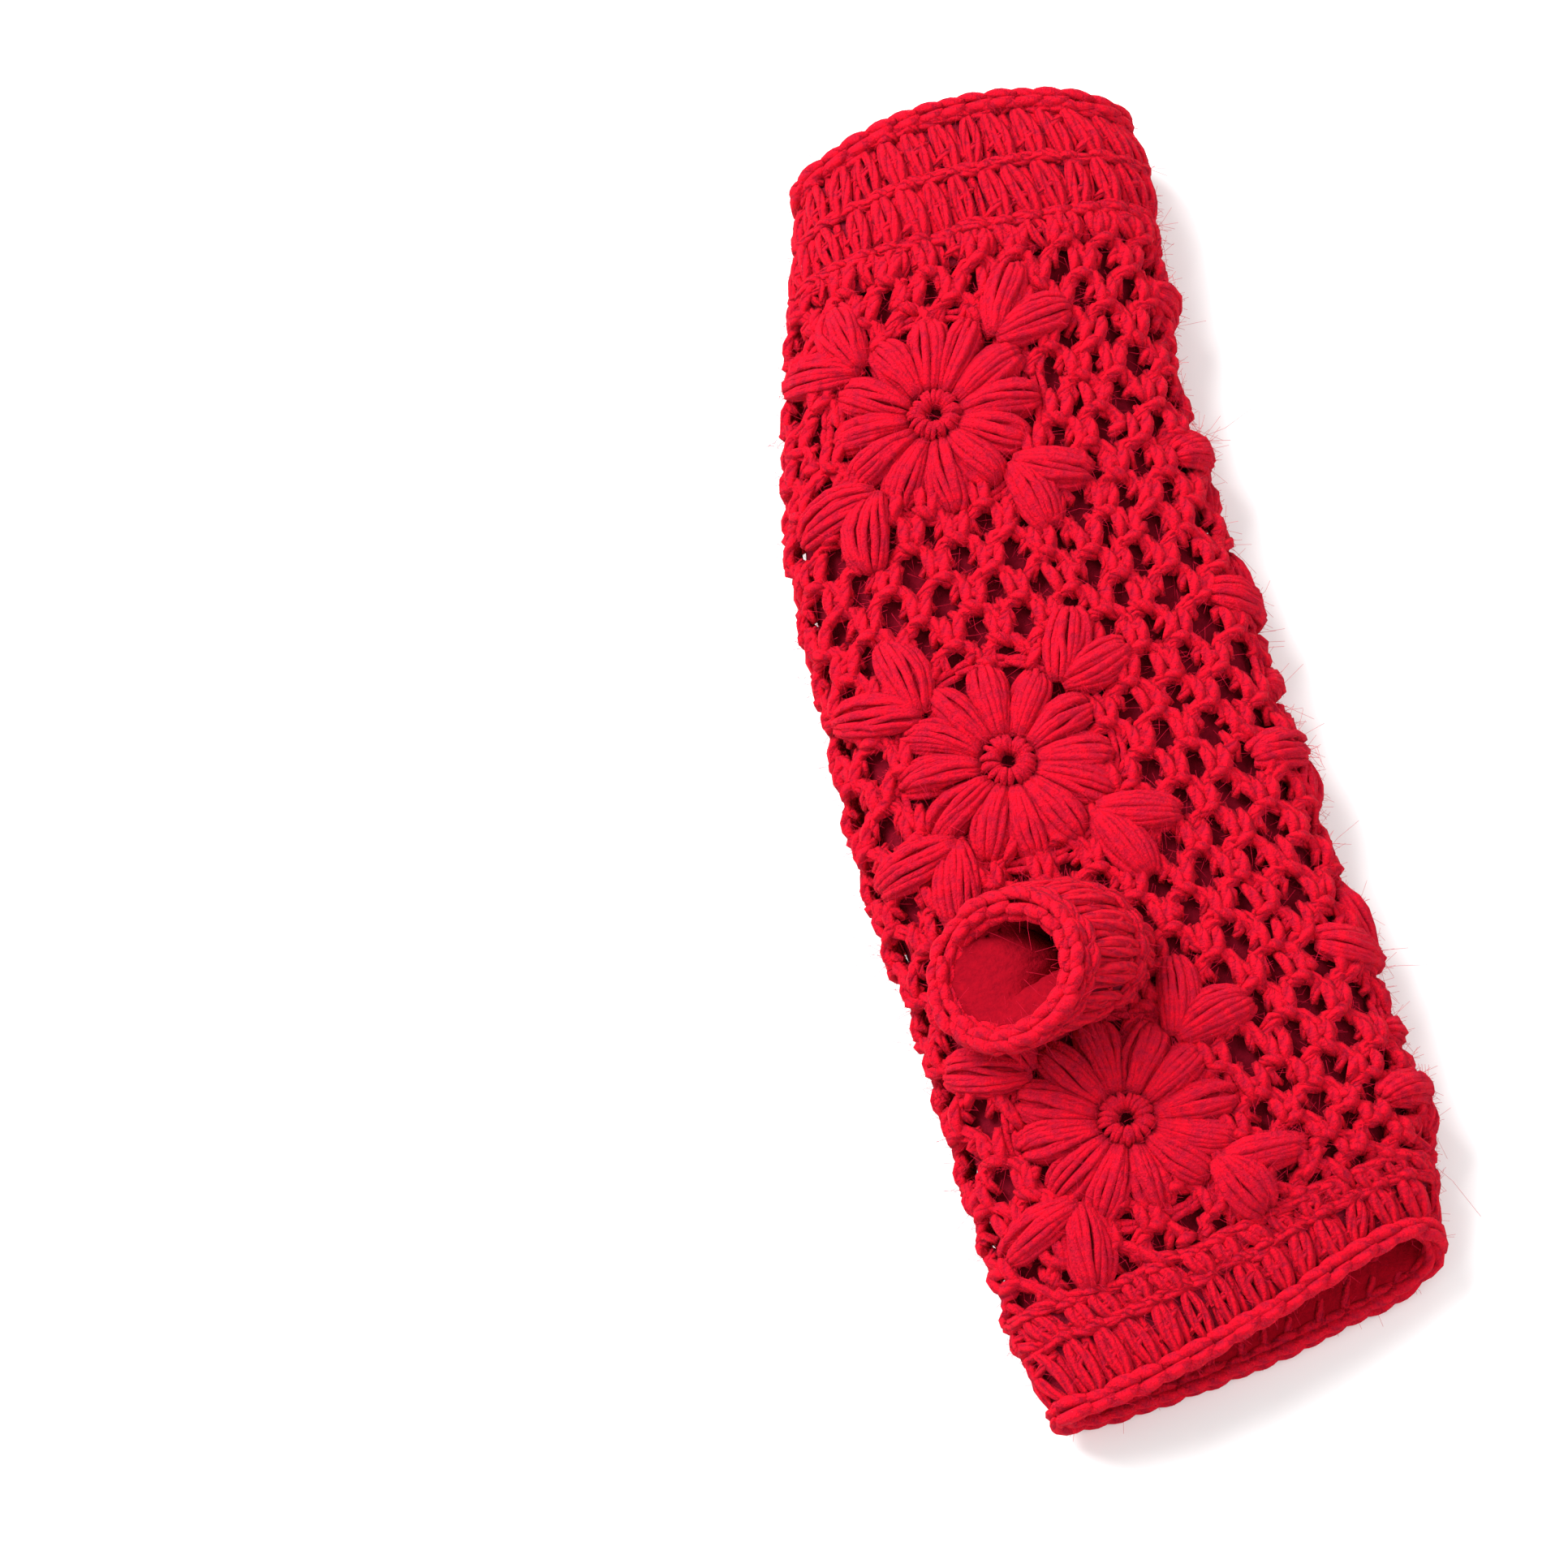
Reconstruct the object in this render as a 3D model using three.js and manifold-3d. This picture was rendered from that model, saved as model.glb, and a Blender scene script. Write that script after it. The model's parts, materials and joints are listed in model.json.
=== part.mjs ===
// A fingerless glove crocheted in thick wool, lying palm side up on a table.
// It is a flattened tube of joined squares, each with a raised twelve-petal flower and leaf pairs at
// its corners, on a coarse net over a fleece lining, with a cuff at both ends and a thumb sleeve.
// Millimetres, +Z up, +Y from the hand end to the arm end, +X across the palm.
import * as THREE from "three";
import { mergeVertices } from "three/addons/utils/BufferGeometryUtils.js";
import Module from "manifold-3d";

const wasm = await Module();
wasm.setup();

// Size of the whole tube
const gloveLength = 272;
const halfWidth = 46; // half of the flattened width, over the net
const crownHeight = 23; // table to the underside of the crown of the net
const underLift = 4.2; // table to the net's inside, where puffs are pressed flat below
const palmLipRise = 23; // how far the palm side of the hand edge slants back at its right end
const backLipRise = 9; // the same for the back of the hand edge
const slantPower = 1.6; // the slant grows towards the right end by this power
const lipFade = 60; // length over which it dies out
const armArch = 6; // how far the arm edge's corners fall behind its middle
const archFade = 40;

// Walls
const netThickness = 2.6;
const cuffThickness = 4;
const liningThickness = 1.3;
const braidThickness = 4.4;
const seam = 0.4; // clearance between neighbouring pieces
const bandSeam = 0.9; // the same between the bands of the tube, whose ends are slanted
const facetBulge = 0.5; // most that a flat facet stands outside the curved wall
const foldBulge = 0.3; // the same again for a flower bent round a side fold

// Lengths along the tube
const handCuffLength = 15.3;
const armCuffLength = 31;
const braidWidth = 3.4;
const armNetMargin = 32.4; // last flower centre of the palm to the arm cuff

// Flowers
const columnPitch = 76; // palm's flower line to the back's, over the right fold
const backRise = 10; // how much nearer the arm edge the back's squares lie
const rows = 3;
const petals = 12;
const flowerRadius = 20.5;
const petalHeight = 5.8; // lining to the crest of a petal
const ringRadius = 3.5; // crest of the ring at the flower's centre
const ringHeight = 4.8;
const holeRadius = 1.6;

// Leaf pairs at the squares' corners
const leafLength = 16;
const leafWidth = 8;
const leafHeight = 3; // above the net
const leafSpread = THREE.MathUtils.degToRad(28); // half of the angle between a pair
const leafMargin = 1.2; // leaf tip to a cuff

// Gaps in the net
const gapsAround = 11;
const gapRows = 24;
const gapWidth = 5.2;
const gapHeight = 4.8;
const gapMargin = 1.2; // least net between a gap and a flower, a leaf or an edge

// Thumb sleeve
const thumbFromHand = 85; // hand edge to the sleeve's root centre
const thumbSide = 1; // root centre to the right of the flower line
const thumbRoot = { across: 13.5, along: 11.6 }; // half axes of the sleeve's root
const thumbMouth = { across: 16.5, along: 15.5 };
const mouthShift = { across: -15, along: -4 }; // mouth centre from the root centre
const mouthRise = 11.5; // mouth centre above the net
const mouthTilt = THREE.MathUtils.degToRad(30);
const sleeveSwell = { rise: 8.5, spread: 1.3 }; // how the sleeve's wall swells before it leans over
const sleeveWall = 3.4;
const sleeveLiningDepth = 0.2; // share of the sleeve left bare below the mouth
const sleeveSides = 16;

// Cross-sections from the hand edge (share 0) to the arm edge (share 1). left, right and flower are
// shares of halfWidth from the middle line, crown is a share of crownHeight, and lean moves the
// crown's top sideways.
const sections = [
  { share: 0.0, left: -0.8, right: 0.93, crown: 0.66, lean: 0.3, flower: -0.14 },
  { share: 0.06, left: -0.88, right: 0.98, crown: 0.78, lean: 0.28, flower: -0.17 },
  { share: 0.15, left: -0.92, right: 1.0, crown: 0.92, lean: 0.18, flower: -0.22 },
  { share: 0.28, left: -0.95, right: 0.96, crown: 1.0, lean: 0.05, flower: -0.28 },
  { share: 0.42, left: -1.02, right: 0.91, crown: 1.0, lean: -0.05, flower: -0.33 },
  { share: 0.55, left: -1.01, right: 0.89, crown: 0.99, lean: -0.05, flower: -0.33 },
  { share: 0.68, left: -0.99, right: 0.86, crown: 0.99, lean: 0.0, flower: -0.29 },
  { share: 0.78, left: -0.87, right: 0.87, crown: 1.02, lean: 0.05, flower: -0.23 },
  { share: 0.88, left: -0.71, right: 0.95, crown: 1.07, lean: 0.12, flower: -0.1 },
  { share: 0.95, left: -0.61, right: 0.99, crown: 1.1, lean: 0.15, flower: -0.03 },
  { share: 1.0, left: -0.56, right: 0.96, crown: 1.06, lean: 0.15, flower: 0.0 },
];
const sideHeight = 0.42; // height of the side folds, as a share of the section's crown
const topRoundness = 2.4; // superellipse exponents of a section's upper and lower half
const underRoundness = 4.5;

const handEdge = -gloveLength / 2;
const armEdge = gloveLength / 2;
const netHandEnd = handEdge + braidWidth + handCuffLength + 2 * bandSeam;
const netArmEnd = armEdge - braidWidth - armCuffLength - 2 * bandSeam;
const leafRoot = flowerRadius - 0.5;
const leafReach = leafRoot * Math.SQRT1_2 + leafLength * Math.cos(Math.PI / 4 - leafSpread);
const firstRow = netHandEnd + leafReach + leafMargin;
const lastRow = netArmEnd - armNetMargin;
const squareLength = (lastRow - firstRow) / (rows - 1);
const highestRow = netArmEnd - leafMargin - leafReach;

// Flower centres along the tube, on the palm and on the back
const columns = [0, backRise].map((rise) =>
  Array.from({ length: rows }, (_, i) => Math.min(firstRow + i * squareLength + rise, highestRow))
);

// The section table as smooth functions of the share along the glove
const columnNames = ["left", "right", "crown", "lean", "flower"];
const sectionCurve = new THREE.CubicInterpolant(
  sections.map((s) => s.share),
  sections.flatMap((s) => columnNames.map((name) => s[name])),
  columnNames.length
);

function sectionAt(v) {
  const share = THREE.MathUtils.clamp((v - handEdge) / gloveLength, 0, 1);
  const [left, right, crown, lean, flower] = sectionCurve.evaluate(share);
  return {
    left: left * halfWidth + netThickness,
    right: right * halfWidth - netThickness,
    crown: crown * crownHeight,
    lean,
    flower: flower * halfWidth,
  };
}

// The net's inside at one station, as points going right over the crown and back below,
// with the length of the way from the flower line to each.
const sectionSteps = 240;
const outlineCache = new Map();

function outlineAt(v) {
  const key = Math.round(v * 50);
  if (outlineCache.has(key)) return outlineCache.get(key);
  const s = sectionAt(v);
  const centre = (s.left + s.right) / 2;
  const reach = (s.right - s.left) / 2;
  const side = underLift + (s.crown - underLift) * sideHeight;
  const points = [];
  for (let i = 0; i < sectionSteps; i++) {
    const angle = Math.PI - (i / sectionSteps) * 2 * Math.PI;
    const c = Math.cos(angle);
    const d = Math.sin(angle);
    const power = 2 / (d >= 0 ? topRoundness : underRoundness);
    let q = Math.sign(c) * Math.abs(c) ** power;
    if (d >= 0 && s.lean) {
      q = (-1 + Math.sqrt(1 + 4 * s.lean * (s.lean + q))) / (2 * s.lean);
    }
    const rise = Math.abs(d) ** power;
    const z = d >= 0 ? side + (s.crown - side) * rise : side - (side - underLift) * rise;
    points.push(new THREE.Vector2(centre + reach * q, z));
  }
  const first = points.findIndex((p) => p.x >= s.flower);
  const turned = [...points.slice(first), ...points.slice(0, first)];
  const lengths = [turned[0].x - s.flower];
  turned.forEach((p, i) => {
    lengths.push(lengths[i] + p.distanceTo(turned[(i + 1) % turned.length]));
  });
  const outline = { section: s, centre, reach, points: turned, lengths };
  outline.perimeter = lengths[turned.length] - lengths[0];
  outlineCache.set(key, outline);
  return outline;
}

const smooth = (t) => THREE.MathUtils.smoothstep(t, 0, 1);

// A point of the glove: u is the way round from the flower line, v the place along the tube and
// n the height over the net's inside. Below the table it is pressed flat.
function onGlove(u, v, n) {
  const o = outlineAt(v);
  const start = o.lengths[0];
  const way = start + THREE.MathUtils.euclideanModulo(u - start, o.perimeter);
  let low = 0;
  let high = o.points.length;
  while (high - low > 1) {
    const middle = (low + high) >> 1;
    if (o.lengths[middle] <= way) low = middle;
    else high = middle;
  }
  const count = o.points.length;
  const a = o.points[low];
  const b = o.points[(low + 1) % count];
  const t = (way - o.lengths[low]) / (o.lengths[low + 1] - o.lengths[low]);
  const before = o.points[(low + count - 1) % count];
  const after = o.points[(low + 2) % count];
  const tangent = b.clone().sub(before).lerp(after.clone().sub(a), t).normalize();
  const inside = a.clone().lerp(b, t);
  const across = (inside.x - o.section.left) / (o.section.right - o.section.left);
  const up = inside.y / o.section.crown;
  const slant = Math.max(0, across) ** slantPower * THREE.MathUtils.lerp(backLipRise, palmLipRise, up);
  const arch = armArch * ((inside.x - o.centre) / o.reach) ** 2;
  const y =
    v + slant * smooth(1 - (v - handEdge) / lipFade) - arch * smooth(1 - (armEdge - v) / archFade);
  return new THREE.Vector3(inside.x - tangent.y * n, y, Math.max(0, inside.y + tangent.x * n));
}

// A point given from a flower's centre in millimetres, on that flower's column
const onSquare = (column, centreV, du, dv, n) => onGlove(column * columnPitch + du, centreV + dv, n);

// Way round from a column's flower line to u, the shorter way
function fromColumn(column, u, v) {
  const du = u - column * columnPitch;
  const { perimeter } = outlineAt(v);
  return du - Math.round(du / perimeter) * perimeter;
}

// Closed mesh from rows of points, each row a closed loop of equal length. A row of one point is a
// pole, and with joined set the last row meets the first. Cells are split along the shorter diagonal.
function gridSolid(loops, joined) {
  const vertices = [];
  const starts = loops.map((loop) => {
    const start = vertices.length;
    vertices.push(...loop);
    return start;
  });
  const faces = [];
  const sides = Math.max(...loops.map((loop) => loop.length));
  const last = joined ? loops.length : loops.length - 1;
  for (let i = 0; i < last; i++) {
    const k = (i + 1) % loops.length;
    for (let j = 0; j < sides; j++) {
      const m = (j + 1) % sides;
      const [a, b] = loops[i].length === 1 ? [starts[i], starts[i]] : [starts[i] + j, starts[i] + m];
      const [c, d] = loops[k].length === 1 ? [starts[k], starts[k]] : [starts[k] + j, starts[k] + m];
      if (a === b) faces.push(a, d, c);
      else if (c === d) faces.push(a, b, d);
      else if (vertices[a].distanceTo(vertices[d]) <= vertices[b].distanceTo(vertices[c])) {
        faces.push(a, b, d, a, d, c);
      } else faces.push(a, b, c, b, d, c);
    }
  }
  const geometry = new THREE.BufferGeometry();
  const numbers = vertices.flatMap((p) => p.toArray());
  geometry.setAttribute("position", new THREE.Float32BufferAttribute(numbers, 3));
  geometry.setIndex(faces);
  return facingOut(geometry);
}

// Turns a closed mesh whose faces point inwards the right way round
function facingOut(geometry) {
  const p = geometry.getAttribute("position");
  const index = geometry.index.array;
  const [a, b, c] = [new THREE.Vector3(), new THREE.Vector3(), new THREE.Vector3()];
  let volume = 0;
  for (let i = 0; i < index.length; i += 3) {
    a.fromBufferAttribute(p, index[i]);
    b.fromBufferAttribute(p, index[i + 1]);
    c.fromBufferAttribute(p, index[i + 2]);
    volume += a.dot(b.cross(c));
  }
  if (volume < 0) geometry.setIndex(Array.from(index).reverse());
  return geometry;
}

function toManifold(geometry) {
  const merged = mergeVertices(geometry, 1e-4);
  return new wasm.Manifold(
    new wasm.Mesh({
      numProp: 3,
      vertProperties: new Float32Array(merged.getAttribute("position").array),
      triVerts: new Uint32Array(merged.index.array),
    })
  );
}

function toGeometry(manifold) {
  const mesh = manifold.getMesh();
  const geometry = new THREE.BufferGeometry();
  geometry.setAttribute("position", new THREE.Float32BufferAttribute(mesh.vertProperties, 3));
  geometry.setIndex(Array.from(mesh.triVerts));
  return geometry;
}

const centroid = (points) =>
  points.reduce((sum, p) => sum.addScaledVector(p, 1 / points.length), new THREE.Vector3());

const evenly = (count, from, to) =>
  Array.from({ length: count }, (_, i) => THREE.MathUtils.lerp(from, to, i / (count - 1)));

// Lines along the tube, as shares of its perimeter: midway between the gaps, and at the side folds
const foldShares = [0.318, 0.818];
const lineShares = Array.from({ length: gapsAround * 2 }, (_, i) => (i + 0.5) / (gapsAround * 2))
  .concat(foldShares)
  .sort((a, b) => a - b);

// A tube wall: profile is a closed list of {v, n} corners of its long section
const tubeWall = (profile) =>
  gridSolid(
    profile.map(({ v, n }) => lineShares.map((share) => onGlove(share * outlineAt(v).perimeter, v, n))),
    true
  );

function netWall(inside, outside) {
  const stations = evenly(gapRows / 2 + 1, netHandEnd, netArmEnd);
  const profile = [
    ...stations.map((v) => ({ v, n: outside })),
    ...stations.reverse().map((v) => ({ v, n: inside })),
  ];
  return toManifold(tubeWall(profile));
}

// Column of the glove's wall over an oval in a square, to cut openings with. Its caps are made of
// rings, so that they follow the wall round the side folds.
const cutterRings = [1 / 3, 2 / 3, 1];
const cutterReach = 3; // how far a cutter goes past the wall that it cuts

function wallCutter(column, centreV, sides, across, along, side, low, high) {
  const ring = (share, n) =>
    oval(sides, across * share, along * share, side).map(([du, dv]) => onSquare(column, centreV, du, dv, n));
  const middle = (n) => [onSquare(column, centreV, side, 0, n)];
  const bottom = cutterRings.map((share) => ring(share, low));
  const top = cutterRings.map((share) => ring(share, high)).reverse();
  return toManifold(gridSolid([middle(low), ...bottom, ...top, middle(high)], false));
}

const oval = (sides, across, along, side = 0) =>
  Array.from({ length: sides }, (_, i) => {
    const angle = (i / sides) * 2 * Math.PI;
    return [side + across * Math.cos(angle), along * Math.sin(angle)];
  });

// Sleeve root in the front column, from the middle row's nearest flower line
const thumbV = handEdge + thumbFromHand;
const thumbHole = { across: thumbRoot.across - sleeveWall, along: thumbRoot.along - sleeveWall };
const thumbLiningHole = {
  across: thumbHole.across - seam - liningThickness,
  along: thumbHole.along - seam - liningThickness,
};

// Lower and upper end of both leaves of a corner, from the flower's centre
function leafAxes(sx, sy) {
  const root = [sx * leafRoot * Math.SQRT1_2, sy * leafRoot * Math.SQRT1_2];
  return [-1, 1].map((side) => {
    const angle = Math.PI / 4 + side * leafSpread;
    const tip = [root[0] + sx * leafLength * Math.cos(angle), root[1] + sy * leafLength * Math.sin(angle)];
    return { root, tip };
  });
}

const corners = [
  [1, 1],
  [-1, 1],
  [-1, -1],
  [1, -1],
];

function distanceToSegment([x, y], { root, tip }) {
  const point = new THREE.Vector3(x, y, 0);
  const line = new THREE.Line3(new THREE.Vector3(...root, 0), new THREE.Vector3(...tip, 0));
  return line.closestPointToPoint(point, true, new THREE.Vector3()).distanceTo(point);
}

// True where a net gap would run into a flower, a leaf, the thumb or an end of the net
function gapBlocked(u, v) {
  const half = Math.max(gapWidth, gapHeight) / 2 + gapMargin;
  if (v - half < netHandEnd || v + half > netArmEnd) return true;
  const onSquares = columns.some((centres, column) => {
    const du = fromColumn(column, u, v);
    return centres.some((centre) => {
      const dv = v - centre;
      const axes = corners.flatMap(([sx, sy]) => leafAxes(sx, sy));
      const onLeaf = axes.some((leaf) => distanceToSegment([du, dv], leaf) < leafWidth / 2 + half);
      return onLeaf || Math.hypot(du, dv) < flowerRadius + seam + half;
    });
  });
  const onThumb = Math.hypot(
    (fromColumn(0, u, v) - thumbSide) / (thumbRoot.across + half),
    (v - thumbV) / (thumbRoot.along + half)
  );
  return onSquares || onThumb < 1;
}

// Straight cutter through the net along its normal at (u, v), with a diamond outline
function gapCutter(u, v) {
  const through = onGlove(u, v, netThickness).sub(onGlove(u, v, 0));
  const diamond = [
    [gapWidth / 2, 0],
    [0, gapHeight / 2],
    [-gapWidth / 2, 0],
    [0, -gapHeight / 2],
  ].map(([du, dv]) => onGlove(u + du, v + dv, 0));
  const middle = centroid(diamond);
  const level = (points, lift) => points.map((p) => p.clone().addScaledVector(through, lift));
  const loops = [level([middle], -1), level(diamond, -1), level(diamond, 2), level([middle], 2)];
  return toManifold(gridSolid(loops, false));
}

function netGaps() {
  const gaps = [];
  for (let row = 0; row < gapRows; row++) {
    const v = THREE.MathUtils.lerp(netHandEnd, netArmEnd, (row + 0.5) / gapRows);
    const perimeter = outlineAt(v).perimeter;
    for (let i = 0; i < gapsAround; i++) {
      const u = ((i + (row % 2) / 2) / gapsAround) * perimeter;
      if (!gapBlocked(u, v)) gaps.push(gapCutter(u, v));
    }
  }
  return gaps;
}

const wool = (color, roughness = 0.95) => new THREE.MeshStandardMaterial({ color, roughness, metalness: 0 });
const materials = {
  net: wool(0xc01026),
  cuff: wool(0xc81028),
  flower: wool(0xe01228),
  braid: wool(0xd01228),
  fleece: wool(0x9c0c20, 1),
};

const glove = new THREE.Group();

function addPiece(name, geometry, material) {
  const flat = geometry.toNonIndexed();
  flat.computeVertexNormals();
  const mesh = new THREE.Mesh(flat, material);
  mesh.name = name;
  glove.add(mesh);
  return mesh;
}

function fleeceLining() {
  const { across, along } = thumbLiningHole;
  const inside = -seam - liningThickness;
  const low = inside - cutterReach;
  const cutter = wallCutter(0, thumbV, sleeveSides, across, along, thumbSide, low, cutterReach);
  return toGeometry(netWall(inside, -seam).subtract(cutter));
}

function crochetNet() {
  const high = netThickness + cutterReach;
  const openingSides = 14;
  const radius = (flowerRadius + seam) / Math.cos(Math.PI / openingSides);
  const { across, along } = thumbHole;
  const cutters = [
    wallCutter(0, thumbV, sleeveSides, across, along, thumbSide, -liningThickness, high),
    ...netGaps(),
  ];
  columns.forEach((centres, column) => {
    centres.forEach((centre) => {
      cutters.push(wallCutter(column, centre, openingSides, radius, radius, 0, -liningThickness, high));
    });
  });
  return toGeometry(netWall(0, netThickness).subtract(wasm.Manifold.union(cutters)));
}

// Cuff with its two rows of tall stitches standing proud between shallow grooves
function cuff(from, to, rowCount) {
  const groove = cuffThickness - 0.9;
  const stations = [];
  for (let i = 0; i < rowCount; i++) {
    const start = THREE.MathUtils.lerp(from, to, i / rowCount);
    const row = (to - from) / rowCount;
    stations.push({ v: start, n: groove }, { v: start + row * 0.5, n: cuffThickness });
  }
  stations.push({ v: to, n: groove });
  const inside = [to, from].map((v) => ({ v, n: 0 }));
  return tubeWall([...stations, ...inside]);
}

// Braided edge: a rounded rim beside a cuff's end
function edgeBraid(from, to) {
  const middle = (from + to) / 2;
  return tubeWall([
    { v: from, n: braidThickness * 0.35 },
    { v: from, n: braidThickness * 0.75 },
    { v: middle, n: braidThickness },
    { v: to, n: braidThickness * 0.75 },
    { v: to, n: braidThickness * 0.35 },
  ]);
}

// Flower: ring with a hole at the centre, then petals whose ridges rise between grooves
function flower(column, centreV) {
  const steps = petals * 2;
  const base = seam + facetBulge + foldBulge;
  const rings = [
    { r: holeRadius, n: ringHeight * 0.55, ridge: 0, notch: 0 },
    { r: ringRadius, n: ringHeight, ridge: 0, notch: 0 },
    { r: flowerRadius * 0.28, n: petalHeight * 0.5, ridge: 0.1, notch: 0 },
    { r: flowerRadius * 0.64, n: petalHeight, ridge: 0.5, notch: 0 },
    { r: flowerRadius, n: petalHeight * 0.5, ridge: 0.5, notch: 0.13 },
    { r: flowerRadius, n: base, ridge: 0, notch: 0.13 },
    { r: flowerRadius * 0.64, n: base, ridge: 0, notch: 0 },
    { r: flowerRadius * 0.28, n: base, ridge: 0, notch: 0 },
    { r: holeRadius, n: base, ridge: 0, notch: 0 },
  ];
  const loops = rings.map(({ r, n, ridge, notch }) =>
    Array.from({ length: steps }, (_, i) => {
      const angle = (i / steps) * 2 * Math.PI;
      const groove = (1 - Math.cos(petals * angle)) / 2;
      const radius = r * (1 - notch * groove);
      const height = n * (1 - ridge * groove);
      return onSquare(column, centreV, radius * Math.cos(angle), radius * Math.sin(angle), height);
    })
  );
  return gridSolid(loops, true);
}

// One leaf: stations along it, each with a flat bottom and a ridge
function leaf(column, centreV, { root, tip }) {
  const stations = [
    { share: 0.22, swell: 0.7 },
    { share: 0.58, swell: 1 },
    { share: 0.86, swell: 0.68 },
  ];
  const direction = new THREE.Vector2(tip[0] - root[0], tip[1] - root[1]).normalize();
  const base = netThickness + seam + facetBulge;
  const at = (share, side, n) =>
    onSquare(
      column,
      centreV,
      THREE.MathUtils.lerp(root[0], tip[0], share) - direction.y * side,
      THREE.MathUtils.lerp(root[1], tip[1], share) + direction.x * side,
      n
    );
  const loops = stations.map(({ share, swell }) => {
    const half = (leafWidth / 2) * swell;
    const top = leafHeight * swell;
    return [
      at(share, half, base + top * 0.4),
      at(share, 0, base + top),
      at(share, -half, base + top * 0.4),
      at(share, -half * 0.7, base),
      at(share, half * 0.7, base),
    ];
  });
  const pole = (share) => [at(share, 0, base + leafHeight * 0.3)];
  return toManifold(gridSolid([pole(0), ...loops, pole(1)], false));
}

// A leaf bent round a side fold is trimmed to stand clear of the net
const netClearance = netWall(0, netThickness + seam);

function leafPair(column, centreV, corner) {
  const [a, b] = leafAxes(...corner).map((axis) => leaf(column, centreV, axis));
  return toGeometry(a.add(b).subtract(netClearance));
}

const sleeveStages = 3; // straight stages of the sleeve's wall between root and mouth

const sleeveRoot = (inset, n) =>
  oval(sleeveSides, thumbRoot.across - inset, thumbRoot.along - inset, thumbSide).map(([du, dv]) =>
    onSquare(0, thumbV, du, dv, n)
  );

const rootCentre = onSquare(0, thumbV, thumbSide, 0, netThickness);
const mouthCentre = rootCentre.clone().add(new THREE.Vector3(mouthShift.across, mouthShift.along, mouthRise));
const mouthAcross = new THREE.Vector3(Math.cos(mouthTilt), 0, Math.sin(mouthTilt));
const mouthNormal = new THREE.Vector3(-Math.sin(mouthTilt), 0, Math.cos(mouthTilt));

const mouthLoop = (inset, lift) =>
  oval(sleeveSides, thumbMouth.across - inset, thumbMouth.along - inset).map(([a, b]) =>
    mouthCentre
      .clone()
      .addScaledVector(mouthAcross, a)
      .add(new THREE.Vector3(0, b, 0))
      .addScaledVector(mouthNormal, lift)
  );

// Outside of the sleeve at the end of a stage: a curve from the root over a knee to the mouth
const stageLoops = evenly(sleeveStages + 1, 0, 1).map((share) => {
  const mouth = mouthLoop(0, 0);
  return sleeveRoot(0, netThickness + seam).map((start, i) => {
    const knee = start.clone().sub(rootCentre).multiplyScalar(sleeveSwell.spread).add(rootCentre);
    knee.z = start.z + sleeveSwell.rise;
    return new THREE.QuadraticBezierCurve3(start, knee, mouth[i]).getPoint(share);
  });
});

// The same at any share of the way up, moved inwards by an inset
function sleeveLoop(share, inset) {
  const stage = Math.min(Math.floor(share * sleeveStages), sleeveStages - 1);
  const loop = stageLoops[stage].map((p, i) =>
    p.clone().lerp(stageLoops[stage + 1][i], share * sleeveStages - stage)
  );
  const centre = centroid(loop);
  return loop.map((p) => p.clone().add(centre.clone().sub(p).setLength(inset)));
}

function thumbSleeve() {
  const shares = evenly(sleeveStages + 1, 0, 1);
  const outside = shares.map((share) => sleeveLoop(share, 0));
  const inside = shares.reverse().map((share) => sleeveLoop(share, sleeveWall));
  return gridSolid([...outside, ...inside], true);
}

function thumbLining() {
  const inset = sleeveWall + seam;
  const shares = [...evenly(sleeveStages, 0, 1 - 1 / sleeveStages), 1 - sleeveLiningDepth];
  return gridSolid(
    [
      sleeveRoot(inset, 0),
      ...shares.map((share) => sleeveLoop(share, inset)),
      ...shares.reverse().map((share) => sleeveLoop(share, inset + liningThickness)),
      sleeveRoot(inset + liningThickness, 0),
    ],
    true
  );
}

function thumbBraid() {
  const radius = braidWidth / 2;
  const profile = oval(5, radius, radius);
  return gridSolid(
    profile.map(([inset, lift]) => mouthLoop(sleeveWall / 2 + inset, radius + seam + lift)),
    true
  );
}

addPiece("lining", fleeceLining(), materials.fleece);
addPiece("net", crochetNet(), materials.net);
addPiece("hand_cuff", cuff(handEdge + braidWidth + bandSeam, netHandEnd - bandSeam, 2), materials.cuff);
addPiece("arm_cuff", cuff(netArmEnd + bandSeam, armEdge - braidWidth - bandSeam, 3), materials.cuff);
addPiece("hand_braid", edgeBraid(handEdge, handEdge + braidWidth), materials.braid);
addPiece("arm_braid", edgeBraid(armEdge - braidWidth, armEdge), materials.braid);
addPiece("thumb_sleeve", thumbSleeve(), materials.cuff);
addPiece("thumb_lining", thumbLining(), materials.fleece);
addPiece("thumb_braid", thumbBraid(), materials.braid);
const cornerNames = ["ne", "nw", "sw", "se"];
["palm", "back"].forEach((side, column) => {
  columns[column].forEach((centre, row) => {
    const place = `${side}_${row + 1}`;
    addPiece(`flower_${place}`, flower(column, centre), materials.flower);
    corners.forEach((corner, k) => {
      addPiece(`leaves_${place}_${cornerNames[k]}`, leafPair(column, centre, corner), materials.flower);
    });
  });
});

// The frame's origin is the middle of the underside
const box = new THREE.Box3().setFromObject(glove);
const middle = box.getCenter(new THREE.Vector3());
glove.position.set(-middle.x, -middle.y, -box.min.z);

export default glove;
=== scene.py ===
"""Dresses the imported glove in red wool: puff stitches, net, cuffs, braids, fleece and fuzz."""

import json
import math

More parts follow.
